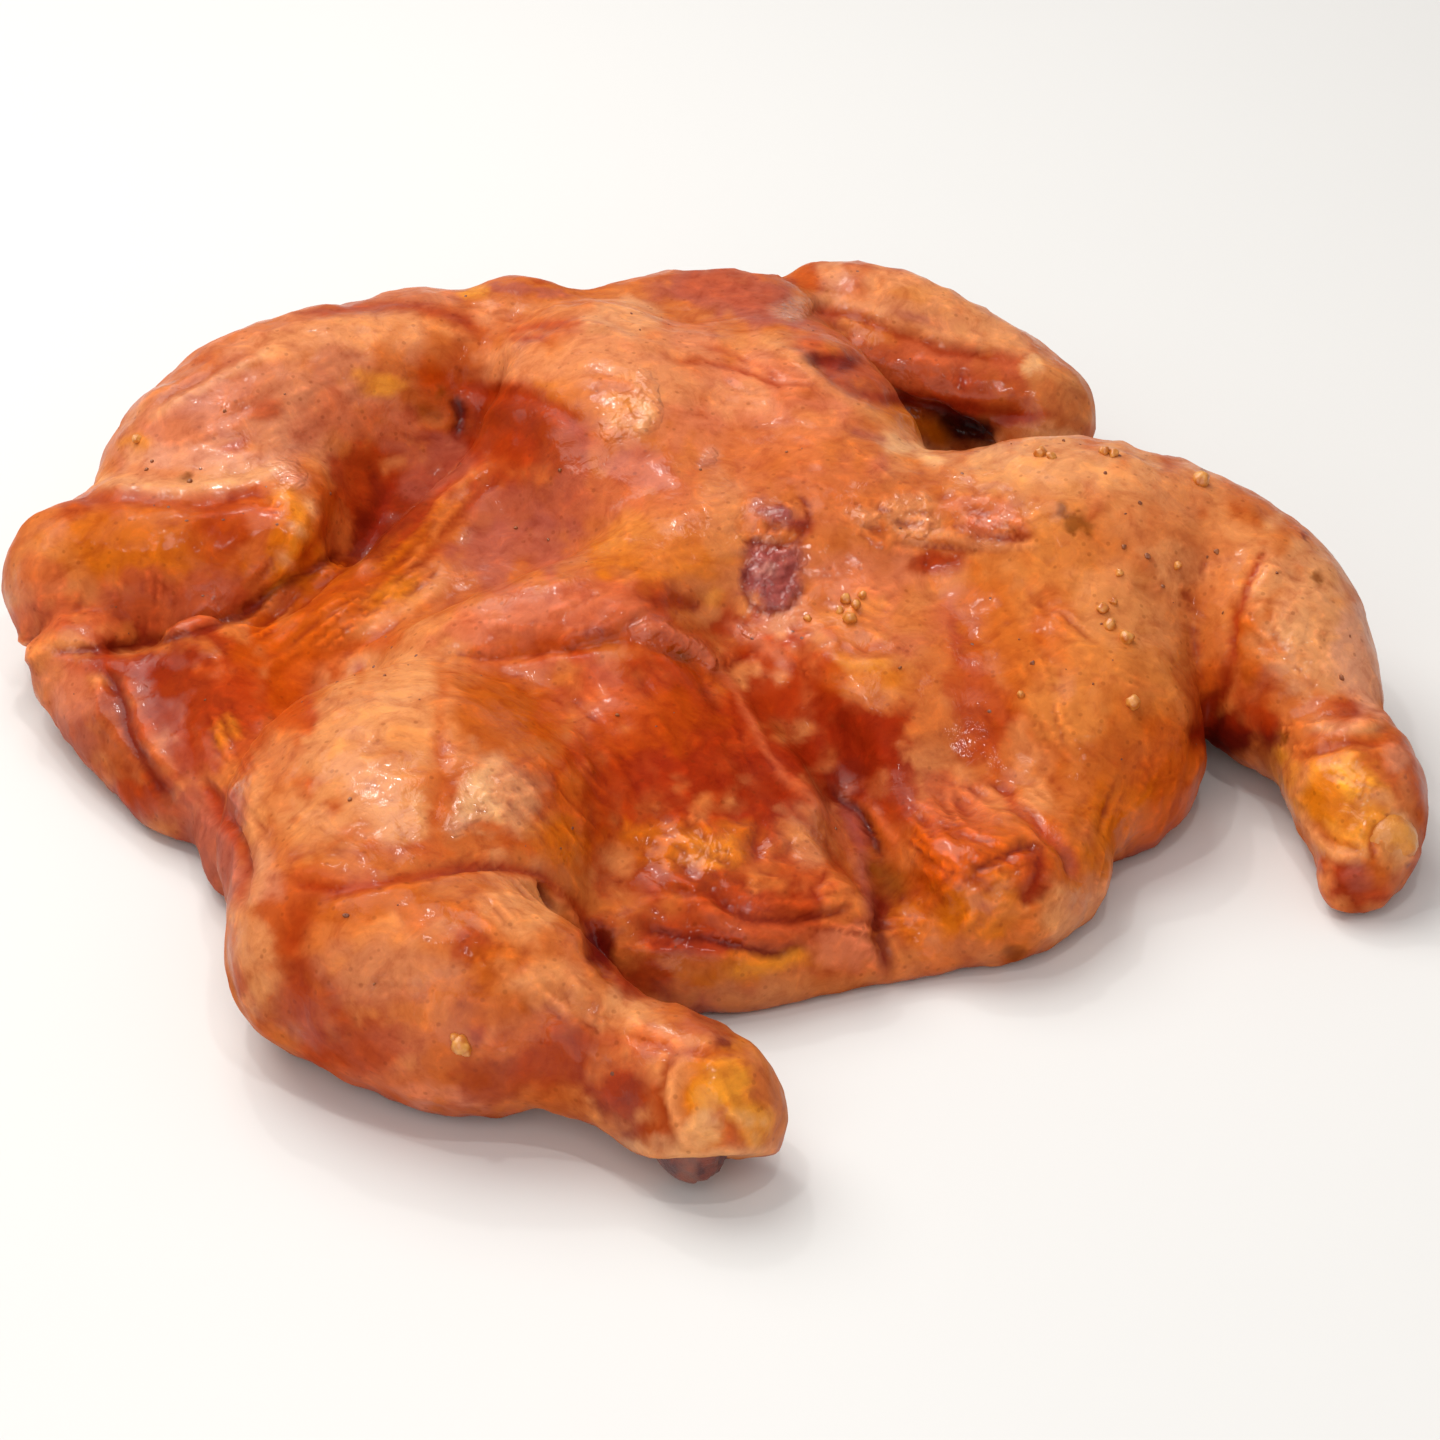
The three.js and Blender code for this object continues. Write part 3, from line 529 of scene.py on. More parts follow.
PATCHES = [
    # Broad washes over the wings, breast and belly
    patch(265, 400, 180, 80, ROSE, 0.7, 24),
    patch(170, 540, 120, 44, OCHRE, 0.75, 4, -0.6),
    patch(140, 612, 120, 26, BRICK, 0.4, 6),
    patch(120, 740, 80, 90, SIENNA, 0.75, -40),
    patch(240, 710, 70, 80, RUST, 0.75, -40, -0.6),
    patch(345, 612, 120, 44, OCHRE, 0.9, 34, -0.7),
    patch(400, 490, 90, 40, BRICK, 0.7, 60),
    # Painted shade on the breast dome's lower-left side, which turns from the light
    patch(520, 430, 90, 50, SIENNA, 0.8, -20),
    patch(690, 375, 190, 56, PINK, 0.65, -12),
    patch(690, 520, 200, 80, FLESH, 0.65, -12),
    patch(550, 620, 130, 40, SALMON, 0.7, 12),
    patch(690, 740, 140, 110, RUST, 0.9, -40, -0.3),
    patch(860, 770, 60, 110, RED, 0.7, 24),
    patch(700, 850, 110, 50, RUST, 0.6),
    patch(740, 930, 150, 50, CLAY, 0.75),
    patch(985, 880, 100, 80, HONEY, 0.75),
    patch(745, 296, 80, 24, MAUVE, 0.7, -6),
    patch(920, 300, 120, 34, ROSE, 0.75, -22),
    patch(950, 378, 120, 34, BRICK, 0.75, -12),
    patch(1065, 395, 36, 30, FLESH, 0.7),
    # Broad washes over the legs
    patch(1070, 480, 130, 50, PEACH, 0.5, -10),
    patch(1090, 610, 140, 110, TAN, 0.75, -20),
    patch(1110, 780, 110, 90, HONEY, 0.6, -30),
    patch(1310, 620, 60, 90, CREAM, 0.5, -10),
    patch(350, 760, 90, 120, WHEAT, 0.7, -8),
    patch(366, 742, 76, 92, PEACH, 0.5, -6),
    patch(400, 1000, 140, 90, FLESH, 0.7),
    patch(370, 1070, 110, 36, SALMON, 0.7, -14),
    patch(600, 1055, 70, 50, BRICK, 0.6, -36),
    patch(215, 850, 34, 90, MAUVE, 0.8, 10, -0.4),
    # Right thigh and drumstick
    patch(330, 770, 50, 90, PEACH, 0.4, -10),
    patch(404, 820, 30, 24, PEACH, 0.5),
    patch(388, 690, 48, 34, PEACH, 0.8, 10),
    patch(414, 672, 26, 20, PEACH, 0.7),
    patch(504, 716, 56, 36, OCHRE, 0.85, -20),
    patch(600, 700, 40, 30, CLAY, 0.7),
    patch(300, 704, 30, 30, RUST, 0.85),
    patch(280, 762, 22, 40, FLESH, 0.7),
    patch(490, 800, 50, 40, CREAM, 0.85, 0, 0.5),
    patch(456, 762, 26, 20, FLESH, 0.8),
    # Painted highlight on the right thigh, faint, where the glaze glints
    patch(461, 823, 16, 10, PAINTED_HIGHLIGHT, 0.15, 0, 1.0),
    patch(560, 800, 56, 80, ORANGE, 0.7, -30),
    patch(436, 852, 24, 10, ORANGE, 0.5),
    patch(340, 862, 60, 12, AMBER, 0.25),
    patch(520, 890, 50, 30, PEACH, 0.6, -35),
    patch(256, 950, 26, 56, PEACH, 0.75, 10),
    patch(262, 884, 22, 36, ROSE, 0.6),
    patch(310, 1004, 34, 44, SIENNA, 0.75, -20),
    patch(385, 975, 66, 34, MAUVE, 0.5, 0, 0.2),
    patch(390, 965, 60, 30, PEACH, 0.35),
    patch(400, 904, 96, 22, HONEY, 0.8),
    patch(472, 948, 24, 14, BRICK, 0.75),
    patch(520, 915, 40, 24, PEACH, 0.5, -38),
    patch(500, 962, 26, 18, HONEY, 0.7),
    patch(620, 1000, 24, 14, CREAM, 0.4, -20),
    patch(355, 1042, 58, 40, BRICK, 0.75, -25),
    patch(476, 1032, 10, 22, RED, 0.7),
    # Painted highlight along the right drumstick's lower edge, where it is also wetter
    patch(430, 1094, 46, 14, PINK, 0.7, -8, 0.3),
    patch(420, 1040, 40, 26, SALMON, 0.5),
    patch(560, 990, 50, 26, PEACH, 0.5, -30),
    patch(480, 1002, 40, 22, HONEY, 0.7),
    patch(444, 1062, 34, 22, HONEY, 0.7),
    patch(500, 1078, 40, 20, SIENNA, 0.8, 10),
    patch(560, 1060, 40, 40, BRICK, 0.6, -30),
    patch(620, 1104, 44, 32, MAHOGANY, 0.9, -36),
    patch(640, 1022, 38, 20, PEACH, 0.6, -20),
    patch(704, 1026, 32, 20, SALMON, 0.7, -30),
    patch(722, 1098, 48, 56, AMBER, 0.9, 24),
    patch(656, 1112, 20, 30, SIENNA, 0.8),
    patch(732, 1094, 36, 40, GOLD, 0.85, 30, 0.3),
    patch(704, 1128, 40, 18, CREAM, 0.6, 10),
    patch(640, 1040, 30, 16, SALMON, 0.5),
    # Skin between the right thigh and wing
    patch(230, 690, 60, 46, RUST, 0.85, 0, -0.9),
    patch(170, 690, 66, 50, SIENNA, 0.85, -20),
    patch(150, 660, 110, 18, MAHOGANY, 0.85, 6),
    patch(186, 700, 50, 34, MAHOGANY, 0.6),
    patch(224, 736, 14, 14, GOLD, 0.35),
    patch(290, 700, 22, 40, ORANGE, 0.5),
    patch(215, 850, 24, 50, MAUVE, 0.5, 20),
    patch(64, 690, 28, 36, PINK, 0.8, -20),
    patch(76, 740, 30, 30, MAUVE, 0.5),
    patch(140, 800, 44, 30, BRICK, 0.85, -30),
    patch(100, 780, 26, 20, SALMON, 0.5, -30),
    patch(290, 650, 60, 40, ORANGE, 0.7, 30),
    # Right wing
    patch(115, 542, 96, 32, AMBER, 0.45, 4),
    patch(222, 530, 34, 32, BRICK, 0.75),
    patch(265, 505, 24, 20, ORANGE, 0.85),
    patch(290, 535, 36, 44, AMBER, 0.8, -30),
    patch(130, 606, 110, 26, CLAY, 0.8, 5),
    patch(40, 590, 26, 40, SALMON, 0.6),
    patch(74, 505, 22, 10, BRICK, 0.6, 25),
    # Painted highlight along the right forearm's top edge
    patch(170, 475, 90, 12, PEACH, 0.6, 4),
    patch(330, 345, 90, 26, PEACH, 0.6, 6),
    patch(330, 362, 36, 18, MAUVE, 0.5),
    patch(270, 410, 22, 9, BRICK, 0.6),
    patch(234, 446, 14, 7, RED, 0.6),
    patch(200, 420, 80, 40, SALMON, 0.35, 25),
    patch(386, 380, 30, 14, GOLD, 0.85),
    patch(434, 376, 24, 20, ORANGE, 0.85),
    patch(350, 420, 60, 24, SALMON, 0.6),
    patch(138, 446, 16, 14, GOLD, 0.5),
    patch(370, 484, 42, 46, BRICK, 0.85, 20, -0.9),
    patch(392, 520, 32, 60, UMBER, 0.9, -24),
    patch(368, 542, 20, 30, WINE, 0.8, -20),
    # Painted highlight along the right forearm's top edge
    patch(205, 452, 66, 12, BLUSH, 0.6, 2),
    patch(440, 462, 44, 30, MAUVE, 0.85, 0, -0.9),
    patch(444, 470, 30, 20, MAHOGANY, 0.4),
    # Painted highlight: a pink glint at the top of the valley beside the right wing
    patch(394, 430, 22, 20, PINK, 0.4),
    # Painted highlight: a faint glint
    patch(467, 536, 10, 9, PAINTED_HIGHLIGHT, 0.15, 0, 1.0),
    patch(477, 404, 14, 18, MAUVE, 0.7),
    patch(350, 596, 80, 30, OCHRE, 0.6, 34, -0.3),
    patch(400, 590, 30, 14, GOLD, 0.4, 34),
    # Neck end and breast
    patch(475, 293, 12, 8, GOLD, 0.7),
    patch(545, 284, 14, 4, BRICK, 0.6, -6),
    patch(625, 316, 46, 16, CREAM, 0.5),
    patch(598, 332, 12, 5, OLIVE, 0.5),
    patch(745, 298, 66, 24, MAUVE, 0.9, -4, -0.5),
    patch(735, 292, 40, 16, CLAY, 0.6, -4, -0.4),
    # Painted highlight on the neck end, where it is also wetter
    patch(796, 308, 14, 10, PEACH, 0.4, 0, 1.0),
    patch(620, 360, 130, 36, PEACH, 0.55, -6),
    # Painted shade on the breast dome's lower-left side: these three patches
    patch(515, 414, 32, 20, BRICK, 0.8, -20),
    patch(545, 444, 70, 38, SIENNA, 0.9, -20),
    patch(500, 430, 40, 30, UMBER, 0.7),
    patch(640, 470, 50, 24, CLAY, 0.8, -10),
    patch(520, 500, 46, 26, BRICK, 0.5),
    patch(505, 460, 34, 26, RUST, 0.6),
    # Painted highlight on the breast: this gold patch and the amber one below it
    patch(622, 408, 26, 18, GOLD, 0.6, -20, 0.4),
    patch(590, 400, 40, 14, AMBER, 0.6, -16),
    patch(760, 410, 120, 50, PINK, 0.6, -16),
    patch(700, 390, 90, 20, PEACH, 0.4, -12),
    patch(572, 500, 26, 26, MAUVE, 0.6),
    patch(620, 500, 70, 30, SALMON, 0.6),
    patch(500, 558, 80, 30, MAUVE, 0.8, 14, -0.3),
    patch(506, 520, 46, 26, MAUVE, 0.6, 30, -0.3),
    # Painted highlight: a faint glint on the breast
    patch(707, 460, 8, 8, PAINTED_HIGHLIGHT, 0.15, 0, 1.0),
    patch(820, 480, 90, 34, SALMON, 0.35, -14),
    patch(790, 440, 60, 26, AMBER, 0.3),
    # Fold and the blisters beside it
    patch(560, 612, 76, 26, CLAY, 0.75, 14, -0.5),
    patch(610, 606, 34, 24, SALMON, 0.5, 10),
    patch(500, 620, 70, 26, PINK, 0.45, 16),
    patch(666, 556, 74, 26, AMBER, 0.8),
    patch(640, 530, 40, 20, GOLD, 0.35),
    # Painted highlight: a golden glint beside the fold
    patch(711, 598, 14, 12, GOLD, 0.4),
    patch(672, 598, 40, 14, SIENNA, 0.7, -6),
    patch(776, 514, 24, 14, PLUM, 0.95, 0, 1.0),
    patch(800, 530, 10, 8, RED, 0.7),
    # Painted highlights on the blisters, faint
    patch(772, 540, 12, 4, PAINTED_HIGHLIGHT, 0.15, 0, 1.0),
    patch(773, 577, 28, 32, PLUM, 0.95, 0, 1.0),
    patch(770, 513, 14, 5, PAINTED_HIGHLIGHT, 0.15, 0, 1.0),
    patch(770, 572, 10, 6, PAINTED_HIGHLIGHT, 0.15, 0, 1.0),
    # Painted highlights along the fold, faint
    patch(596, 632, 8, 6, PAINTED_HIGHLIGHT, 0.15, 0, 1.0),
    patch(749, 633, 9, 5, PAINTED_HIGHLIGHT, 0.15, -20, 1.0),
    patch(787, 662, 9, 5, PAINTED_HIGHLIGHT, 0.15, -10, 1.0),
    patch(722, 520, 20, 40, PEACH, 0.4, 0, 0.6),
    # Skin between the breast and the left thigh
    patch(865, 592, 54, 40, PINK, 0.5),
    patch(860, 560, 50, 20, PINK, 0.4),
    # Painted sheen over the glinting band below the breast, which is also wetter there
    patch(905, 516, 46, 22, PEACH, 0.55, -6, 1.0),
    patch(982, 520, 36, 18, SALMON, 0.75, -10, 0.8),
    patch(1000, 540, 30, 7, RED, 0.7, 6),
    patch(940, 564, 26, 10, BRICK, 0.9),
    patch(944, 618, 44, 30, SALMON, 0.8, 0, 0.4),
    patch(985, 700, 34, 66, RUST, 0.75, 24),
    patch(960, 630, 26, 30, BRICK, 0.5),
    patch(866, 680, 40, 18, AMBER, 0.75),
    patch(850, 612, 30, 16, GOLD, 0.3, 0, 0.4),
    # Faint painted highlight on the fold, where it is also wetter
    patch(672, 642, 50, 16, PINK, 0.1, -24, 1.0),
    # Faint painted highlight on the right wrist, where it is also wetter
    patch(290, 474, 22, 14, BLUSH, 0.1, -30, 1.0),
    # Faint painted highlight on the breast, where it is also wetter
    patch(640, 402, 22, 26, GOLD, 0.1, 0, 1.0),
    # Faint painted highlight on the fold, where it is also wetter
    patch(712, 664, 16, 10, PINK, 0.2, -40, 1.0),
    # Faint painted highlight on the breast's slope, where it is also wetter
    patch(612, 430, 20, 16, PEACH, 0.1, 0, 0.9),
    # Faint painted highlight on the right thigh, where it is also wetter
    patch(470, 815, 34, 24, PEACH, 0.1, 0, 1.0),
    patch(745, 296, 40, 16, MAUVE, 0.4),
    patch(556, 612, 46, 22, CLAY, 0.4, -10),
    patch(670, 530, 50, 42, FLESH, 0.35),
    patch(500, 800, 34, 26, CREAM, 0.35),
    # Belly
    patch(612, 716, 46, 26, SALMON, 0.6, 0, 0.1),
    patch(640, 780, 70, 70, RED, 0.6, -40, -0.5),
    patch(690, 760, 60, 60, RED, 0.75, -50, -0.5),
    patch(776, 706, 50, 40, RED, 0.7, -40, -0.4),
    patch(798, 692, 50, 46, RUST, 0.65, -40, -0.5),
    patch(832, 730, 40, 40, RED, 0.5, -40, -0.5),
    patch(866, 740, 46, 44, RED, 0.9, 0, -0.9),
    patch(848, 774, 26, 16, WINE, 0.8),
    patch(760, 790, 40, 44, RED, 0.75, -50),
    patch(690, 850, 66, 34, AMBER, 0.75, 0, 0.5),
    patch(700, 852, 40, 20, GOLD, 0.3, 0, 0.5),
    patch(700, 884, 100, 14, SIENNA, 0.7),
    patch(560, 842, 22, 30, AMBER, 0.5, 20),
    patch(930, 900, 22, 40, RUST, 0.5),
    patch(1000, 902, 30, 24, PEACH, 0.4),
    patch(812, 838, 30, 30, PEACH, 0.5, -30, 0.5),
    patch(650, 720, 60, 30, ORANGE, 0.5),
    patch(900, 790, 20, 30, RED, 0.7),
    patch(888, 884, 22, 26, OLIVE, 0.5, 0, -0.9),
    patch(660, 850, 40, 16, OCHRE, 0.5, 0, -0.3),
    # Tail flaps
    # Painted shadow in the gap between the right drumstick and the tail
    patch(604, 944, 14, 20, GAP_SHADE, 0.9, -20),
    patch(655, 980, 34, 22, RED, 0.75, -20),
    patch(730, 918, 110, 34, BRICK, 0.7),
    patch(690, 945, 50, 14, RED, 0.6),
    patch(700, 880, 90, 16, SIENNA, 0.7),
    patch(750, 966, 60, 14, AMBER, 0.75, 8),
    patch(845, 942, 36, 20, PINK, 0.75),
    patch(960, 850, 46, 36, ORANGE, 0.75, 0, 0.3),
    patch(970, 805, 60, 24, SALMON, 0.7, -20, 0.3),
    patch(1060, 915, 32, 36, PEACH, 0.8, 20),
    patch(960, 920, 60, 26, AMBER, 0.6),
    patch(1030, 880, 20, 24, BRICK, 0.7),
    # Painted shade in a small crevice of the tail flap
    patch(1012, 950, 14, 6, CREVICE_SHADE, 0.5),
    patch(1000, 900, 20, 30, AMBER, 0.4),
    # Left thigh
    patch(1062, 462, 90, 34, CREAM, 0.4, -6),
    patch(1110, 580, 130, 90, TAN, 0.5, -10),
    patch(1130, 540, 50, 40, FLESH, 0.6, 0, -0.3),
    patch(1180, 510, 70, 44, PEACH, 0.5, -20),
    patch(1176, 570, 50, 70, FLESH, 0.75, 0, -0.4),
    patch(1008, 644, 34, 70, HONEY, 0.7, 14, -0.4),
    patch(1064, 712, 36, 50, TAN, 0.8, 10),
    patch(1170, 800, 60, 80, ORANGE, 0.65, -20),
    patch(1110, 830, 30, 60, AMBER, 0.4, -20),
    # Painted highlight on the left thigh's crinkled skin
    patch(1180, 564, 30, 16, PEACH, 0.6, -15),
    patch(1050, 625, 20, 46, ORANGE, 0.4, 20),
    patch(1130, 606, 46, 40, PEACH, 0.5, 0, -0.2),
    patch(1210, 690, 20, 40, ORANGE, 0.7, -20),
    # Left drumstick
    # Painted shadow between the left thigh and drumstick: this patch and the red one below it
    patch(1232, 738, 44, 24, GAP_SHADE, 0.95, -8, -0.9),
    patch(1256, 718, 22, 16, RED, 0.8, 0, -0.5),
    patch(1262, 690, 24, 30, RUST, 0.7, 0, -0.5),
    patch(1248, 640, 16, 40, OCHRE, 0.8, 8, -0.4),
    patch(1300, 620, 44, 60, PEACH, 0.5, 10),
    patch(1362, 650, 28, 80, BLUSH, 0.8, 6),
    # Painted highlight on the left drumstick's crinkled skin, where it is also wetter
    patch(1290, 635, 18, 24, CREAM, 0.25, 10, 0.5),
    patch(1345, 702, 14, 8, BRICK, 0.7, -10),
    patch(1290, 770, 18, 18, TAN, 0.6),
    patch(1345, 726, 40, 10, PINK, 0.7, 8),
    patch(1346, 800, 56, 50, GOLD, 0.75, -30, 0.3),
    patch(1350, 776, 24, 18, GOLD, 0.9, -30, 0.3),
    patch(1376, 784, 26, 22, GOLD, 0.7, -20, 0.4),
    patch(1380, 796, 18, 16, PEACH, 0.9),
    patch(1404, 790, 12, 30, FLESH, 0.7),
    patch(1322, 800, 20, 26, AMBER, 0.85),
    patch(1396, 760, 22, 12, ROSE, 0.7, -40),
    patch(1356, 884, 50, 26, BRICK, 0.9, -14),
    patch(1345, 880, 18, 20, MAHOGANY, 0.7),
    patch(1382, 868, 16, 20, HONEY, 0.7),
    patch(1360, 878, 18, 12, MAUVE, 0.4),
    patch(1398, 840, 18, 28, WHEAT, 0.8, -10),
    # Left wing
    patch(900, 292, 84, 24, PEACH, 0.6, -18),
    patch(898, 294, 28, 8, TAN, 0.7, -8),
    patch(918, 319, 26, 7, PLUM, 0.6, -18),
    patch(985, 322, 50, 16, PEACH, 0.7, -24),
    patch(940, 370, 100, 28, CLAY, 0.8, -14),
    patch(960, 362, 60, 14, SALMON, 0.6, -14),
    patch(834, 362, 24, 7, WINE, 0.85),
    patch(930, 404, 60, 10, RED, 0.75, -4),
    # Painted shade in the hole under the left wing
    patch(965, 427, 32, 12, CREVICE_SHADE, 1.0),
    patch(896, 444, 46, 9, CREAM, 0.8, -26),
    patch(918, 424, 36, 12, AMBER, 0.9, -24),
    patch(1064, 388, 34, 34, WHEAT, 0.9),
    patch(1034, 364, 9, 9, CREAM, 0.7),
    patch(1060, 400, 30, 16, ORANGE, 0.3),
    patch(1024, 419, 34, 8, RUST, 0.8),
]

# Scraps of herb, burnt specks and dark marks that lie flat on the skin
SPOTS = [
    spot(1078, 522, 18, 13, OLIVE, -12),
    spot(1063, 512, 7, 9, OLIVE, 20),
    spot(1319, 578, 9, 7, OLIVE, -35),
    spot(1305, 536, 4, 4, UMBER),
    spot(1204, 470, 4, 4, OLIVE),
    spot(1284, 736, 6, 8, OLIVE),
    spot(1411, 866, 6, 4, WINE, 20),
    spot(723, 1043, 9, 5, WINE, -20),
    spot(518, 289, 22, 6, MAUVE, -4),
    spot(553, 294, 18, 6, MAUVE, -10),
    spot(440, 394, 5, 6, OLIVE),
    spot(184, 478, 8, 5, OLIVE, 10),
]

# Grains of garlic: place in pixels and size across in millimetres
GRAINS = [
    (461, 1045, 3.4), (466, 1050, 2.0), (455, 1039, 1.8),
    (1102, 610, 2.4), (1113, 603, 1.8), (1110, 626, 2.6), (1126, 640, 3.0), (1132, 704, 3.0),
    (1041, 455, 2.8), (1051, 457, 2.0), (1104, 453, 2.4), (1113, 455, 2.2), (1200, 482, 3.6),
    (1120, 573, 1.6), (846, 600, 2.2), (856, 606, 2.0), (850, 620, 2.8), (840, 612, 1.8), (862, 596, 1.8),
    (808, 619, 1.8), (138, 440, 2.2), (1177, 566, 1.8), (1021, 695, 1.6),
]

# Scraps of herbs and pepper: place in pixels and size across in millimetres
SCRAPS = [
    (190, 482, 1.5), (225, 411, 1.0), (146, 470, 0.8), (152, 462, 0.7), (1064, 441, 1.2),
    (1011, 444, 0.8), (1124, 547, 1.2), (1148, 557, 1.2), (1163, 586, 1.0), (1140, 503, 1.4),
    (1105, 473, 0.9), (1277, 573, 0.9), (1223, 613, 1.0), (1217, 552, 1.3), (1207, 557, 1.0),
    (1033, 663, 1.2), (617, 715, 1.0), (346, 915, 1.4), (374, 984, 0.9), (900, 668, 1.2),
    (1019, 640, 0.9), (1093, 684, 0.8), (1350, 636, 0.9), (1342, 678, 1.1), (285, 394, 0.8),
    (205, 700, 0.8), (384, 676, 0.8), (560, 470, 0.8), (548, 540, 0.9), (516, 528, 0.8),
    (640, 330, 0.8), (700, 470, 0.8), (786, 452, 0.9), (420, 700, 0.7), (350, 800, 0.7),
    (398, 905, 0.7),
]

# Overlapping folds: the skin on the right of the line's way stands over the skin on its left
LIPS = [
    {"line": [(642, 612), (600, 636), (540, 646), (470, 652)], "width": 6, "height": 1.0},
    {"line": [(592, 935), (560, 888), (506, 868), (430, 872), (345, 886)], "width": 7, "height": -0.8},
    {"line": [(800, 668), (760, 644), (712, 670), (684, 650)], "width": 5, "height": 0.6},
    {"line": [(1040, 545), (1000, 548), (930, 542)], "width": 5, "height": 0.6},
]


def shown_to_linear(colour):
    """A colour of 0 to 255 as it shows, to linear light."""
    c = np.asarray(colour, float) / 255
    return np.where(c <= 0.04045, c / 12.92, ((c + 0.055) / 1.055) ** 2.4)


def under_glaze(colour):
    """Linear colour of a surface that shows as this colour once its gloss is added."""
    return np.maximum(shown_to_linear(colour) - VEIL, 0.002) * LIGHT_GAIN


def linear_rgba(colour):
    return tuple(float(v) for v in under_glaze(colour)) + (1.0,)


class BirdSettings(bpy.types.PropertyGroup):
    """Sizes of the skin."""
    cell: bpy.props.FloatProperty(
        name="Cell", description="Spacing of the grid that the skin is drawn from",
        default=1.26 * MM, min=0.5 * MM, unit="LENGTH")
    fold_height: bpy.props.FloatProperty(
        name="Fold height", description="Multiplies the depth of every fold", default=1.0, min=0.0,
        subtype="FACTOR")
    wrinkle_height: bpy.props.FloatProperty(
        name="Wrinkle height", description="Multiplies the depth of the fine wrinkles", default=1.0, min=0.0,
        subtype="FACTOR")
    pore_depth: bpy.props.FloatProperty(
        name="Pore depth", description="Depth of the fine crinkles", default=0.5 * MM, min=0.0, unit="LENGTH")


class GlazeSettings(bpy.types.PropertyGroup):
    """Colours and gloss of the glazed skin."""
    ground: bpy.props.FloatVectorProperty(
        name="Skin", description="Colour of the skin away from its patches", subtype="COLOR",
        default=linear_rgba(GROUND)[:3], min=0, max=1)
    # Colour of the painted shade in hollows and near the floor, and of glaze gathered in the hollows
    valley_glaze_and_shade: bpy.props.FloatVectorProperty(
        name="Valleys", description="Colour where the glaze has gathered", subtype="COLOR",
        default=linear_rgba(VALLEY_GLAZE_AND_SHADE)[:3], min=0, max=1)
    gloss: bpy.props.FloatProperty(
        name="Gloss", description="Weight of the glaze's clear coat", default=0.9, min=0, max=1,
        subtype="FACTOR")


class SpiceSettings(bpy.types.PropertyGroup):
    """Garlic grains, scraps of herb and pepper flakes."""
    grain_scale: bpy.props.FloatProperty(
        name="Grain size", description="Multiplies the size of the garlic grains", default=1.0, min=0.1)
    scrap_scale: bpy.props.FloatProperty(
        name="Scrap size", description="Multiplies the size of the herb scraps", default=0.75, min=0.1)
    flake_size: bpy.props.FloatProperty(
        name="Flake size", description="Size across of a pepper flake", default=0.9 * MM, min=0.1 * MM,
        unit="LENGTH")
    flake_density: bpy.props.FloatProperty(
        name="Flakes", description="Pepper flakes on a square metre of skin", default=2600, min=0)


class StageSettings(bpy.types.PropertyGroup):
    """Floor and lights."""
    floor_size: bpy.props.FloatProperty(
        name="Floor", description="Side of the square floor", default=6.0, min=0.5, unit="LENGTH")
    key_power: bpy.props.FloatProperty(
        name="Key light", description="Power of the large light above and behind", default=9.0, min=0.0,
        unit="POWER")
    fill_power: bpy.props.FloatProperty(
        name="Fill light", description="Power of the light beside the camera", default=4.0, min=0.0,
        unit="POWER")
    glint_power: bpy.props.FloatProperty(
        name="Glint lights", description="Power of each small light that the glaze glints in", default=0.85,
        min=0.0, unit="POWER")
    room_light: bpy.props.FloatProperty(
        name="Room light", description="Strength of the white light from all around", default=0.42, min=0.0)


class Field:
    """Distances to the bird's surface on a grid, below nought inside it."""

    def __init__(self, step):
        self.step = step
        counts = np.ceil((GRID_HIGH - GRID_LOW) / step).astype(int) + 1
        self.axes = [GRID_LOW[i] + step * np.arange(counts[i], dtype=np.float32) for i in range(3)]
        self.values = np.full(counts, FAR, np.float32)

    def window(self, low, high):
        """Slices of the grid that hold a box, and the coordinates in them."""
        first = np.floor((np.asarray(low) - GRID_LOW) / self.step).astype(int)
        last = np.ceil((np.asarray(high) - GRID_LOW) / self.step).astype(int) + 1
        cut = tuple(
            slice(max(0, first[i]), min(self.values.shape[i], last[i])) for i in range(3)
        )
        axes = [self.axes[i][cut[i]] for i in range(3)]
        return cut, np.meshgrid(*axes, indexing="ij", sparse=True)

    def join(self, cut, distance, blend, hollow):
        """Smooth union with the field, or a smooth cut out of it."""
        old = self.values[cut]
        if hollow:
            self.values[cut] = -smooth_min(-old, distance, blend)
        else:
            self.values[cut] = smooth_min(old, distance, blend)

    def sample(self, points):
        """Values at points between the grid's corners."""
        place = (points - GRID_LOW) / self.step
        place = np.clip(place, 0, np.array(self.values.shape) - 1.001)
        low = place.astype(int)
        part = place - low
        total = 0
        for corner in np.ndindex(2, 2, 2):
            weight = np.ones(len(points))
            for axis in range(3):
                weight = weight * (part[:, axis] if corner[axis] else 1 - part[:, axis])
            at = low + np.array(corner)
            total = total + weight * self.values[at[:, 0], at[:, 1], at[:, 2]]
        return total


def smooth_min(a, b, width):
    """The lesser of two values, blended where they are nearly alike."""
    near = np.maximum(width - np.abs(a - b), 0) / width
    return np.minimum(a, b) - near * near * (width * 0.25)


def smooth_step(low, high, value):
    """0 below the low value, 1 above the high one, and a smooth curve between."""
    t = np.clip((value - low) / (high - low), 0, 1)
    return t * t * (3 - 2 * t)


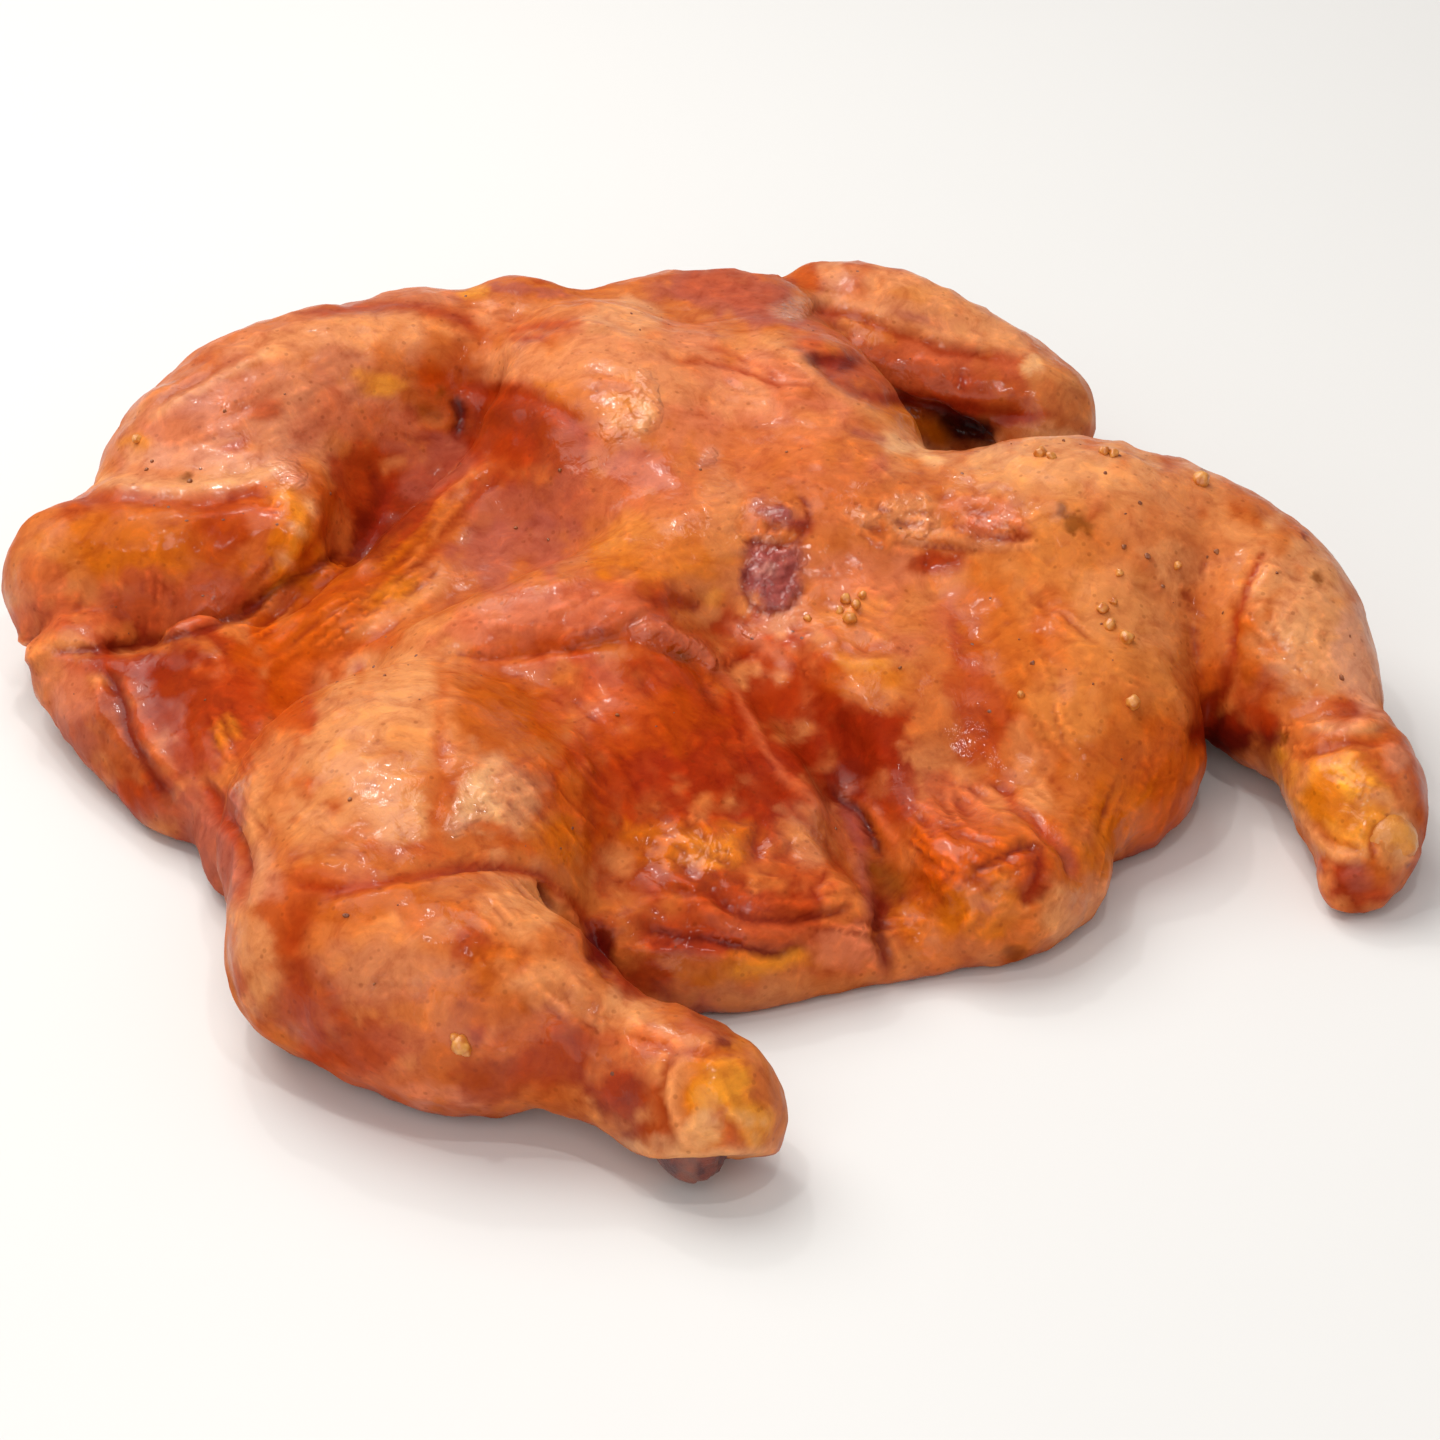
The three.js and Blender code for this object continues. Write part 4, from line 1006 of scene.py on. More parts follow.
def spline(points, steps=SPLINE_STEPS):
    """Points on a smooth path through the given ones."""
    points = np.array(points, float)
    if len(points) < 3:
        return points
    ends = np.vstack([2 * points[0] - points[1], points, 2 * points[-1] - points[-2]])
    path = []
    for i in range(1, len(ends) - 2):
        a, b, c, d = ends[i - 1:i + 3]
        for t in np.arange(steps) / steps:
            slope = (c - a) * t
            bend = (2 * a - 5 * b + 4 * c - d) * t ** 2
            path.append(0.5 * (2 * b + slope + bend + (3 * b - a - 3 * c + d) * t ** 3))
    path.append(points[-1])
    return np.array(path)


def add_blob(field, limb):
    """Joins an ellipsoid to the field."""
    centre = np.array(limb["centre"], float)
    radii = limb["radii"]
    reach = max(radii) + limb["blend"]
    cut, (x, y, z) = field.window(centre - reach, centre + reach)
    x, y, z = x - centre[0], y - centre[1], z - centre[2]
    c = math.cos(math.radians(limb["turn"]))
    s = math.sin(math.radians(limb["turn"]))
    u = (x * c + y * s) / radii[0]
    v = (y * c - x * s) / radii[1]
    w = z / radii[2]
    k0 = np.sqrt(u * u + v * v + w * w)
    k1 = np.sqrt((u / radii[0]) ** 2 + (v / radii[1]) ** 2 + (w / radii[2]) ** 2)
    distance = np.where(k1 > 1e-6, k0 * (k0 - 1) / np.maximum(k1, 1e-6), -min(radii))
    field.join(cut, distance.astype(np.float32), limb["blend"], limb["cut"])


def add_chain(field, limb):
    """Joins a round limb to the field, or cuts its shape out."""
    path = spline(limb["points"])
    reach = path[:, 3].max() + limb["blend"]
    cut, (x, y, z) = field.window(path[:, :3].min(0) - reach, path[:, :3].max(0) + reach)
    best = np.float32(FAR)
    for a, b in zip(path[:-1], path[1:]):
        step = (b - a).astype(np.float32)
        along = (x - np.float32(a[0])) * step[0] + (y - np.float32(a[1])) * step[1]
        along = along + (z - np.float32(a[2])) * step[2]
        t = np.clip(along / np.float32(step[:3] @ step[:3]), 0, 1)
        off = (x - np.float32(a[0]) - t * step[0]) ** 2
        off += (y - np.float32(a[1]) - t * step[1]) ** 2
        off += (z - np.float32(a[2]) - t * step[2]) ** 2
        best = np.minimum(best, np.sqrt(off) - np.float32(a[3]) - t * step[3])
    field.join(cut, best, limb["blend"], limb["cut"])


def bird_field(step):
    """The whole bird, from its broad back outward."""
    field = Field(step)
    for limb in LIMBS:
        if limb["kind"] == "blob":
            add_blob(field, limb)
        else:
            add_chain(field, limb)
    for hock in HOCK_CUTS:
        point = np.array(hock["point"], float)
        cut, axes = field.window(point - hock["reach"], point + hock["reach"])
        off = [axes[i] - point[i] for i in range(3)]
        past = sum(off[i] * hock["normal"][i] for i in range(3))
        away = np.sqrt(off[0] ** 2 + off[1] ** 2 + off[2] ** 2)
        inside = np.minimum(past, hock["reach"] - away)
        field.values[cut] = -smooth_min(-field.values[cut], -inside, HOCK_RIM)
    height = np.broadcast_to(field.axes[2], field.values.shape)
    field.values = -smooth_min(-field.values, height, RIM)
    return field


def surface(field):
    """Points and four-sided faces of the field's surface: one point in each
    grid cell that it crosses, and one face across each edge that it crosses."""
    inside = field.values < 0
    shape = np.array(inside.shape)
    filled = np.zeros(shape - 1, np.int8)
    for i, j, k in np.ndindex(2, 2, 2):
        filled += inside[i:shape[0] - 1 + i, j:shape[1] - 1 + j, k:shape[2] - 1 + k]
    crossed = (filled > 0) & (filled < 8)
    cells = np.argwhere(crossed)
    number = np.full(crossed.shape, -1, np.int32)
    number[crossed] = np.arange(len(cells))
    corner = {
        c: field.values[cells[:, 0] + c[0], cells[:, 1] + c[1], cells[:, 2] + c[2]]
        for c in np.ndindex(2, 2, 2)
    }
    total = np.zeros((len(cells), 3))
    hits = np.zeros(len(cells))
    for a in corner:
        for axis in range(3):
            if a[axis]:
                continue
            b = tuple(1 if i == axis else a[i] for i in range(3))
            hit = (corner[a] < 0) != (corner[b] < 0)
            t = np.where(hit, corner[a] / np.where(hit, corner[a] - corner[b], 1), 0)
            place = np.tile(np.array(a, float), (len(cells), 1))
            place[:, axis] = t
            total += np.where(hit[:, None], place, 0)
            hits += hit
    points = (cells + total / hits[:, None]) * field.step + GRID_LOW
    faces = []
    for axis in range(3):
        near = [slice(None)] * 3
        far = [slice(None)] * 3
        near[axis] = slice(0, shape[axis] - 1)
        far[axis] = slice(1, shape[axis])
        u, v = (axis + 1) % 3, (axis + 2) % 3
        edges = np.argwhere(inside[tuple(near)] != inside[tuple(far)])
        edges = edges[(edges[:, u] > 0) & (edges[:, v] > 0)]
        outward = inside[edges[:, 0], edges[:, 1], edges[:, 2]]
        ring = []
        for du, dv in ((1, 1), (0, 1), (0, 0), (1, 0)):
            at = edges.copy()
            at[:, u] -= du
            at[:, v] -= dv
            ring.append(number[at[:, 0], at[:, 1], at[:, 2]])
        face = np.stack(ring, 1)
        face[~outward] = face[~outward][:, ::-1]
        faces.append(face)
    return points, np.vstack(faces)


def settle(field, points, rounds=3):
    """Moves points onto the surface, along the field's slope."""
    e = field.step * 0.5
    for _ in range(rounds):
        slope = np.stack([
            (field.sample(points + e * axis) - field.sample(points - e * axis)) / (2 * e)
            for axis in np.eye(3)
        ], 1)
        value = field.sample(points)
        step = value / ((slope ** 2).sum(1) + 1e-6)
        step = np.clip(step, -field.step * 0.4, field.step * 0.4)
        points = points - step[:, None] * slope
    return points


class Skin:
    """The skin's points and edges in millimetres, while it is shaped and painted."""

    def __init__(self, mesh):
        self.mesh = mesh
        self.points = read(mesh.vertices, "co", 3) / MM + PLAN_MIDDLE
        self.edges = read(mesh.edges, "vertices", 2, np.int32)
        self.degree = np.bincount(self.edges.ravel(), minlength=len(self.points))
        self.look()

    def look(self):
        """Normals, picture places and how well the camera sees each point."""
        self.mesh.vertices.foreach_set("co", ((self.points - PLAN_MIDDLE) * MM).astype(np.float32).ravel())
        self.mesh.update()
        self.normals = read(self.mesh.vertex_normals, "vector", 3)
        away = self.points - EYE
        depth = -(away @ BACK)
        self.pixels = np.stack([
            PICTURE / 2 + FOCAL * (away @ RIGHT) / depth,
            PICTURE / 2 - FOCAL * (away @ UP) / depth,
        ], 1)
        facing = -(self.normals * away).sum(1) / np.linalg.norm(away, axis=1)
        squares = (self.pixels // SIGHT_SQUARE).astype(int)
        key = squares[:, 0] * PICTURE + squares[:, 1]
        order = np.unique(key, return_inverse=True)[1].ravel()
        nearest = np.full(order.max() + 1, VERY_FAR)
        turned = facing > 0
        np.minimum.at(nearest, order[turned], depth[turned])
        clear = depth < nearest[order] + SIGHT_DEPTH
        self.seen = self.spread(self.grown(smooth_step(-0.1, 0.25, facing) * clear, 2), 3)

    def grown(self, values, rounds):
        """Each point takes the highest value around it, over and over."""
        a, b = self.edges.T
        for _ in range(rounds):
            wider = values.copy()
            np.maximum.at(wider, a, values[b])
            np.maximum.at(wider, b, values[a])
            values = wider
        return values

    def spread(self, values, rounds):
        """Values averaged with those of the points around, over and over."""
        a, b = self.edges.T
        for _ in range(rounds):
            if values.ndim == 1:
                total = np.bincount(a, values[b], len(values)) + np.bincount(b, values[a], len(values))
                values = 0.5 * values + 0.5 * total / self.degree
            else:
                values = np.stack([self.spread(column, 1) for column in values.T], 1)
        return values

    def hollow(self, rounds):
        """How far each point lies below the skin around it, in millimetres."""
        return ((self.spread(self.points, rounds) - self.points) * self.normals).sum(1)

    def push(self, height):
        """Moves each point outwards by its height."""
        self.points = self.points + self.normals * height[:, None]
        self.look()


def read(items, name, width, kind=np.float32):
    """One attribute of all the items, as rows of so many numbers."""
    values = np.empty(len(items) * width, kind)
    items.foreach_get(name, values)
    return values.reshape(-1, width)


def lattice_noise(places, seed):
    """Smooth random values of about -1 to 1 over places in two or three
    dimensions, with features about one unit across."""
    dimensions = places.shape[1]
    lattice = np.random.default_rng(seed).uniform(-1, 1, (LATTICE,) * dimensions)
    low = np.floor(places).astype(int)
    part = places - low
    part = part * part * (3 - 2 * part)
    total = 0
    for corner in np.ndindex((2,) * dimensions):
        weight = np.ones(len(places))
        for axis in range(dimensions):
            weight = weight * (part[:, axis] if corner[axis] else 1 - part[:, axis])
        at = (low + np.array(corner)) % LATTICE
        total = total + weight * lattice[tuple(at.T)]
    return total


def rough_noise(places, seed):
    """Random values in three layers, each finer and fainter than the last."""
    total = 0
    for number in range(3):
        total = total + lattice_noise(places * LAYER_STEP ** number, seed + number) * LAYER_FADE ** number
    return total


def ridged(values, sharpness=WRINKLE_SHARPNESS):
    """Sharp ridges along the lines where the values cross nought."""
    return 1 - sharpness * np.abs(values)


def line_place(pixels, line):
    """Distance in pixels from each place to a smooth line, on its left below
    nought, and how far along the line the nearest point lies, from 0 to 1."""
    path = spline(line, 5)
    lengths = np.concatenate([[0], np.cumsum(np.hypot(*np.diff(path, axis=0).T))])
    best = np.full(len(pixels), VERY_FAR)
    side = np.ones(len(pixels))
    along = np.zeros(len(pixels))
    for index, (a, b) in enumerate(zip(path[:-1], path[1:])):
        step = b - a
        away = pixels - a
        t = np.clip((away @ step) / max(step @ step, 1e-9), 0, 1)
        distance = np.hypot(*(away - t[:, None] * step).T)
        nearer = distance < best
        best = np.where(nearer, distance, best)
        side = np.where(nearer, np.sign(step[0] * away[:, 1] - step[1] * away[:, 0]), side)
        along = np.where(nearer, lengths[index] + t * (lengths[index + 1] - lengths[index]), along)
    return best * side, along / lengths[-1]


def stroke_place(pixels, line, width):
    """Points near a stroke, their distance from it in its half widths, and
    how strong it is there: it fades towards its ends."""
    corners = np.array(line, float)
    margin = 5 * width
    near = ((pixels > corners.min(0) - margin) & (pixels < corners.max(0) + margin)).all(1)
    near = np.nonzero(near)[0]
    across, along = line_place(pixels[near], line)
    start = smooth_step(-STROKE_END, STROKE_END, along)
    end = smooth_step(1 - STROKE_END, 1 + STROKE_END, along)
    return near, across / width, start * (1 - end)


def patch_reach(pixels, middle, radii, turn):
    """Distance from a patch's middle, where 1 is its edge."""
    c = math.cos(math.radians(turn))
    s = math.sin(math.radians(turn))
    x = pixels[:, 0] - middle[0]
    y = middle[1] - pixels[:, 1]
    return np.hypot((x * c + y * s) / radii[0], (y * c - x * s) / radii[1])


def unsteady(pixels, size, reach, seed):
    """Places moved a little to and fro, so that drawn lines waver as folds do."""
    sideways = rough_noise(pixels / size, seed)
    upward = rough_noise(pixels / size, seed + 7)
    return pixels + reach * np.stack([sideways, upward], 1)


def wavering(skin):
    """The skin's places in the picture, moved a little so that the strokes waver."""
    return unsteady(skin.pixels, 22, 2.2, SEEDS["stroke_waver"])


def stroke_heights(skin, scale):
    """Creases, ridges and overlapping folds drawn as strokes."""
    height = np.zeros(len(skin.points))
    pixels = wavering(skin)
    uneven = 0.85 + 0.4 * lattice_noise(skin.pixels / 18, SEEDS["stroke_height"])
    for line in STROKES:
        near, across, fade = stroke_place(pixels, line["line"], line["width"])
        height[near] += line["height"] * np.exp(-across ** 2) * fade * uneven[near]
    for lip in LIPS:
        near, across, fade = stroke_place(pixels, lip["line"], lip["width"])
        edge = np.tanh(2 * across)
        raised = 0.5 * (1 + edge) * np.exp(-(np.maximum(across, 0) / LIP_TOP) ** 2)
        sunk = 0.5 * (1 - edge) * np.exp(-(np.minimum(across, 0) / LIP_FOOT) ** 2)
        height[near] += lip["height"] * (raised - 0.7 * sunk) * fade
    return height * skin.seen * scale


def wrinkle_heights(skin, scale):
    """Fine wrinkles, drawn out along each area's heading."""
    height = np.zeros(len(skin.points))
    for number, area in enumerate(WRINKLES):
        length, width = area["grain"]
        reach = patch_reach(skin.pixels, area["middle"], area["radii"], 0)
        near = np.nonzero(reach < WRINKLE_EDGE)[0]
        pixels = skin.pixels[near]
        ragged = 0.25 * lattice_noise(pixels / 30, SEEDS["wrinkle_edge"] + number)
        mask = 1 - smooth_step(0.5, WRINKLE_EDGE, reach[near] + ragged)
        c = math.cos(math.radians(area["heading"]))
        s = math.sin(math.radians(area["heading"]))
        bend = lattice_noise(pixels / 60, SEEDS["wrinkle_bend"] + number) * 1.3 * width
        along = (pixels[:, 0] * c - pixels[:, 1] * s) / length
        across = (-pixels[:, 1] * c - pixels[:, 0] * s + bend) / (1.5 * width)
        waves = lattice_noise(np.stack([along, across], 1), SEEDS["wrinkle_waves"] + number)
        finer = np.stack([along * 1.9, across * 2.1], 1)
        waves = waves + 0.45 * lattice_noise(finer, SEEDS["wrinkle_ripples"] + number)
        height[near] += area["height"] * np.maximum(ridged(waves), -1) * mask * 0.55
    return height * skin.seen * scale


def lump_heights(skin):
    """Small unevenness of the flesh all over, and wrinkles where the camera doesn't see."""
    lumps = rough_noise(skin.points / 12, SEEDS["lumps"]) * 0.5
    creases = ridged(lattice_noise(skin.points / 7, SEEDS["creases"]), 2.5)
    pimples = lattice_noise(skin.points / 2.4, SEEDS["pimples"]) * 0.14
    wrinkled = ridged(lattice_noise(skin.points / (8, 8, 24), SEEDS["side_wrinkles"]))
    return lumps + 0.18 * creases + pimples + 0.5 * (1 - skin.seen) * wrinkled


def layer(colour, over, mask):
    """Lays one colour over the skin's, as strongly as the mask says."""
    colour += (over - colour) * mask[:, None]


def paint_clouds(skin, colour):
    """Pale and rusty clouds all over, and scorched ones where the camera doesn't see."""
    cloud = rough_noise(skin.points / 22, SEEDS["clouds"])
    layer(colour, under_glaze(PEACH), smooth_step(0.1, 0.8, cloud) * 0.5)
    layer(colour, under_glaze(RUST), smooth_step(0.1, 0.8, -cloud) * 0.5)
    scorched = smooth_step(0.1, 0.7, rough_noise(skin.points / 15, SEEDS["scorched"])) * (1 - skin.seen)
    layer(colour, under_glaze(MAHOGANY), scorched * 0.5)


def paint_patches(skin, colour, wet):
    """Patches with ragged edges, which are wetter or drier than the rest. Some are painted highlights and
    painted shade.
    """
    ragged = 0.5 * rough_noise(skin.pixels / 26, SEEDS["ragged"])
    pixels = unsteady(skin.pixels, 30, 4, SEEDS["patch_waver"])
    for area in PATCHES:
        reach = patch_reach(pixels, area["middle"], area["radii"], area["turn"])
        mask = (1 - smooth_step(0.55, 1.3, reach + ragged)) * skin.seen
        layer(colour, under_glaze(area["colour"]), mask * area["strength"])
        wet += np.where(area["gloss"] > 0, 1 - wet, wet) * mask * area["gloss"]


def paint_spots(skin, colour):
    """Small marks with crisp edges."""
    for area in SPOTS:
        reach = patch_reach(skin.pixels, area["middle"], area["radii"], area["turn"])
        reach = reach + 0.4 * rough_noise(skin.pixels / 9, SEEDS["spots"])
        layer(colour, under_glaze(area["colour"]), 0.8 * (1 - smooth_step(0.7, 1.2, reach)) * skin.seen)


def paint_hollow_glaze_and_shade(skin, colour, valley_glaze_and_shade):
    """Painted shade and gathered glaze in hollows of three sizes, and painted light on the paler crowns
    between them.
    """
    fine = skin.hollow(1)
    middling = skin.hollow(5)
    broad = skin.hollow(25)
    # Painted shade and gathered glaze in the hollows
    layer(colour, valley_glaze_and_shade, smooth_step(0.0, 0.12, fine) * 0.4)
    layer(colour, valley_glaze_and_shade, smooth_step(0.05, 0.6, middling) * 0.5)
    layer(colour, valley_glaze_and_shade, smooth_step(0.4, 2.4, broad) * 0.5)
    # Painted light: the crowns made paler
    colour *= 1 + 0.25 * smooth_step(0.01, 0.12, -fine)[:, None]
    colour *= 1 + 0.2 * smooth_step(0.1, 0.6, -middling)[:, None]


def paint_strokes(skin, colour):
    """Colours along the creases and ridges, some of them painted highlights and painted shade."""
    pixels = wavering(skin)
    for line in STROKES:
        if line["colour"] is None:
            continue
        near, across, fade = stroke_place(pixels, line["line"], line["width"])
        mask = np.zeros(len(pixels))
        mask[near] = np.exp(-across ** 2) * fade
        layer(colour, under_glaze(line["colour"]), mask * line["strength"] * skin.seen)


def paint(skin, glaze):
    """Colour, gloss and spice of the skin at each point."""
    colour = np.tile(np.array(glaze.ground), (len(skin.points), 1))
    valley_glaze_and_shade = np.array(glaze.valley_glaze_and_shade)
    wet = np.clip(0.36 + 0.4 * rough_noise(skin.points / 12, SEEDS["wet"]), 0, 1)
    paint_clouds(skin, colour)
    paint_patches(skin, colour, wet)
    paint_spots(skin, colour)
    paint_hollow_glaze_and_shade(skin, colour, valley_glaze_and_shade)
    paint_strokes(skin, colour)
    # Painted shade: darker towards the floor, in the colour of the hollows
    low = 1 - smooth_step(0, 7, skin.points[:, 2])
    layer(colour, valley_glaze_and_shade, low * 0.4)
    sprinkled = smooth_step(-0.4, 0.7, rough_noise(skin.points / 30, SEEDS["sprinkled"]))
    spice = smooth_step(0.1, 0.6, skin.normals[:, 2]) * sprinkled
    return colour, wet, spice


class Socket:
    """A node's output, whose arithmetic adds Math nodes to its tree."""

    def __init__(self, tree, output):
        self.tree = tree
        self.output = output

    def math(self, operation, *values):
        """A Math node of these values."""
        return self.tree.node("ShaderNodeMath", {"operation": operation}, *values)

    def __add__(self, other):
        return self.math("ADD", self, other)

    def __radd__(self, other):
        return self.math("ADD", other, self)

    def __sub__(self, other):
        return self.math("SUBTRACT", self, other)

    def __rsub__(self, other):
        return self.math("SUBTRACT", other, self)

    def __mul__(self, other):
        return self.math("MULTIPLY", self, other)

    def __rmul__(self, other):
        return self.math("MULTIPLY", other, self)


class Tree:
    """A node tree, to which each call adds one node with its settings and inputs."""

    def __init__(self, tree):
        self.tree = tree

    def node(self, kind, settings=None, *values, output=0, **named):
        """A new node, given its settings, its first inputs in order and others by name."""
        node = self.tree.nodes.new(kind)
        for name, value in (settings or {}).items():
            setattr(node, name, value)
        inputs = list(enumerate(values)) + [(name.replace("_", " "), value) for name, value in named.items()]
        for name, value in inputs:
            socket = node.inputs[name]
            if isinstance(value, Socket):
                self.tree.links.new(value.output, socket)
            else:
                socket.default_value = value
        return Socket(self, node.outputs[output]) if node.outputs else None

    def mix(self, factor, a, b, mode="MIX"):
        """Colour b over colour a."""
        node = self.tree.nodes.new("ShaderNodeMix")
        node.data_type = "RGBA"
        node.blend_type = mode
        for index, value in ((0, factor), (6, a), (7, b)):
            if isinstance(value, Socket):
                self.tree.links.new(value.output, node.inputs[index])
            else:
                node.inputs[index].default_value = value
        return Socket(self, node.outputs[2])


def new_material(name):
    """An empty material, and its tree."""
    material = bpy.data.materials.new(name)
    material.use_nodes = True
    material.node_tree.nodes.clear()
    return material, Tree(material.node_tree)


def attribute(tree, name, output):
    """One of the mesh's own values."""
    return tree.node("ShaderNodeAttribute", {"attribute_name": name}, output=output)


def noise(tree, scale, detail, roughness, **more):
    """Noise fixed to the piece, with so many features to a metre."""
    place = tree.node("ShaderNodeTexCoord", output="Object")
    return tree.node(
        "ShaderNodeTexNoise", None, Vector=place, Scale=scale, Detail=detail, Roughness=roughness, **more)


def between(tree, value, low, high, new_low=0.0, new_high=1.0):
    """A value from one range moved to another, and held within it."""
    return tree.node("ShaderNodeMapRange", None, value, low, high, new_low, new_high)


def skin_material(bird, glaze):
    """Roast skin, mottled and pored, under a clear glaze that gleams where it is wet."""
    material, tree = new_material("glazed_skin")
    tint = attribute(tree, "tint", "Color")
    wet = attribute(tree, "wet", "Fac")
    place = tree.node("ShaderNodeTexCoord", output="Object")
    blotch = noise(tree, scale=130, detail=6, roughness=0.62, Distortion=0.9)
    mottle = noise(tree, scale=380, detail=4, roughness=0.6, Distortion=0.6)
    speckle = noise(tree, scale=1000, detail=3, roughness=0.6)
    darker = linear_rgba(BROWNED)
    colour = tree.mix(between(tree, blotch, 0.5, 0.68, 0.0, 0.4), tint, darker, "MULTIPLY")
    colour = tree.mix(between(tree, blotch, 0.46, 0.32, 0.0, 1.0), colour, (1.22, 1.2, 1.05, 1), "MULTIPLY")
    colour = tree.mix(between(tree, mottle, 0.52, 0.68, 0.0, 0.22), colour, darker, "MULTIPLY")
    colour = tree.mix(between(tree, mottle, 0.46, 0.32, 0.0, 1.0), colour, (1.1, 1.12, 1.12, 1), "MULTIPLY")
    colour = tree.mix(between(tree, speckle, 0.62, 0.74, 0.0, 0.16), colour, linear_rgba(RUST))
    pores = tree.node("ShaderNodeTexVoronoi", {"feature": "F1"}, Vector=place, Scale=300)
    colour = tree.mix(between(tree, pores, 0.1, 0.17, 0.3, 0.0), colour, linear_rgba(PORE))
    crinkle = noise(tree, scale=240, detail=4, roughness=0.55, Distortion=0.9)
    beads = noise(tree, scale=430, detail=1, roughness=0.5, Distortion=0.4)
    height = crinkle * (wet + 0.3) + beads * between(tree, wet, 0.65, 1.0, 0.0, 2.2)
    normal = tree.node("ShaderNodeBump", None, Strength=0.7, Distance=bird.pore_depth, Height=height)
    roughness = between(tree, wet, 0.0, 1.0, 0.6, 0.36)
    coat = between(tree, wet, 0.1, 1.0, 0.0, glaze.gloss)
    shader = tree.node(
        "ShaderNodeBsdfPrincipled", None, Base_Color=colour, Roughness=roughness, Normal=normal,
        Subsurface_Weight=0.1, Subsurface_Radius=(1.0, 0.35, 0.15), Subsurface_Scale=0.003,
        Specular_IOR_Level=0.02, Coat_Weight=coat, Coat_Roughness=0.1, Coat_IOR=1.45, Coat_Normal=normal)
    tree.node("ShaderNodeOutputMaterial", None, shader)
    return material


def bone_material(name, hollows, crowns, rims):
    """Moist bone or cartilage, pitted, with a paler rim."""
    material, tree = new_material(name)
    blotch = noise(tree, scale=300, detail=5, roughness=0.6)
    pits = noise(tree, scale=1400, detail=3, roughness=0.6)
    rim = attribute(tree, "rim", "Fac")
    colour = tree.mix(between(tree, blotch, 0.4, 0.6), linear_rgba(hollows), linear_rgba(crowns))
    colour = tree.mix(rim * 0.4, colour, linear_rgba(rims))
    normal = tree.node("ShaderNodeBump", None, Strength=0.6, Distance=0.4 * MM, Height=pits)
    shader = tree.node(
        "ShaderNodeBsdfPrincipled", None, Base_Color=colour, Normal=normal,
        Roughness=between(tree, blotch, 0.3, 0.7, 0.3, 0.5), Coat_Weight=0.3, Coat_Roughness=0.2)
    tree.node("ShaderNodeOutputMaterial", None, shader)
    return material


def grain_material(name, dark, light, scale, roughness):
    """A spice in two shades, moist with glaze."""
    material, tree = new_material(name)
    blotch = noise(tree, scale, detail=4, roughness=0.6)
    colour = tree.mix(between(tree, blotch, 0.35, 0.65), linear_rgba(dark), linear_rgba(light))
    normal = tree.node("ShaderNodeBump", None, Strength=0.5, Distance=0.06 * MM, Height=blotch)
    shader = tree.node(
        "ShaderNodeBsdfPrincipled", None, Base_Color=colour, Roughness=roughness, Normal=normal,
        Coat_Weight=0.4, Coat_Roughness=0.15)
    tree.node("ShaderNodeOutputMaterial", None, shader)
    return material


def new_piece(name, mesh):
    """An object in the scene that shows this mesh."""
    piece = bpy.data.objects.new(name, mesh)
    bpy.context.scene.collection.objects.link(piece)
    return piece


def make_plain(piece):
    """Turns the result of a piece's modifiers into its plain mesh."""
    bpy.context.view_layer.update()
    graph = bpy.context.evaluated_depsgraph_get()
    mesh = bpy.data.meshes.new_from_object(piece.evaluated_get(graph), depsgraph=graph)
    piece.modifiers.clear()
    piece.data = mesh


def thin_underside(piece, most):
    """Drops faces under the bird until it has at most so many triangles."""
    points = read(piece.data.vertices, "co", 3)
    group = piece.vertex_groups.new(name="underside")
    hidden = np.nonzero(points[:, 2] < UNDERSIDE * MM)[0]
    group.add(hidden.tolist(), 1.0, "REPLACE")
    thin = piece.modifiers.new("thin", "DECIMATE")
    thin.vertex_group = group.name
    thin.vertex_group_factor = 10
    thin.ratio = min(1.0, most / (2 * len(piece.data.polygons)))
    make_plain(piece)
    piece.vertex_groups.clear()


def bird_mesh(bird):
    """The bird without its folds and wrinkles, as one closed mesh."""
    field = bird_field(bird.cell / MM)
    points, faces = surface(field)
    points = settle(field, points)
    mesh = bpy.data.meshes.new("bird_skin")
    mesh.from_pydata(((points - PLAN_MIDDLE) * MM).tolist(), [], faces.tolist())
    mesh.update()
    return mesh


class CHICKEN_OT_skin(bpy.types.Operator):
    """Make the bird's skin and flesh in one piece"""
    bl_idname = "chicken.skin"
    bl_label = "Skin"

    def execute(self, context):
        bird = context.scene.chicken_bird
        glaze = context.scene.chicken_glaze
        piece = new_piece("bird_skin", bird_mesh(bird))
        thin_underside(piece, MOST_TRIANGLES)
        mesh = piece.data
        mesh.shade_smooth()
        skin = Skin(mesh)
        skin.push(lump_heights(skin))
        skin.push(stroke_heights(skin, bird.fold_height) + wrinkle_heights(skin, bird.wrinkle_height))
        skin.points[:, 2] = np.maximum(skin.points[:, 2], 0)
        skin.look()
        colour, wet, spice = paint(skin, glaze)
        tint = mesh.attributes.new("tint", "FLOAT_COLOR", "POINT")
        rgba = np.column_stack([np.clip(colour, 0, 1), np.ones(len(colour))])
        tint.data.foreach_set("color", rgba.astype(np.float32).ravel())
        for name, values in (("wet", wet), ("spice", spice)):
            stored = mesh.attributes.new(name, "FLOAT", "POINT")
            stored.data.foreach_set("value", values.astype(np.float32))
        mesh.materials.clear()
        mesh.materials.append(skin_material(bird, glaze))
        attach(piece, "root")
        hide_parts("bird")
        return {"FINISHED"}


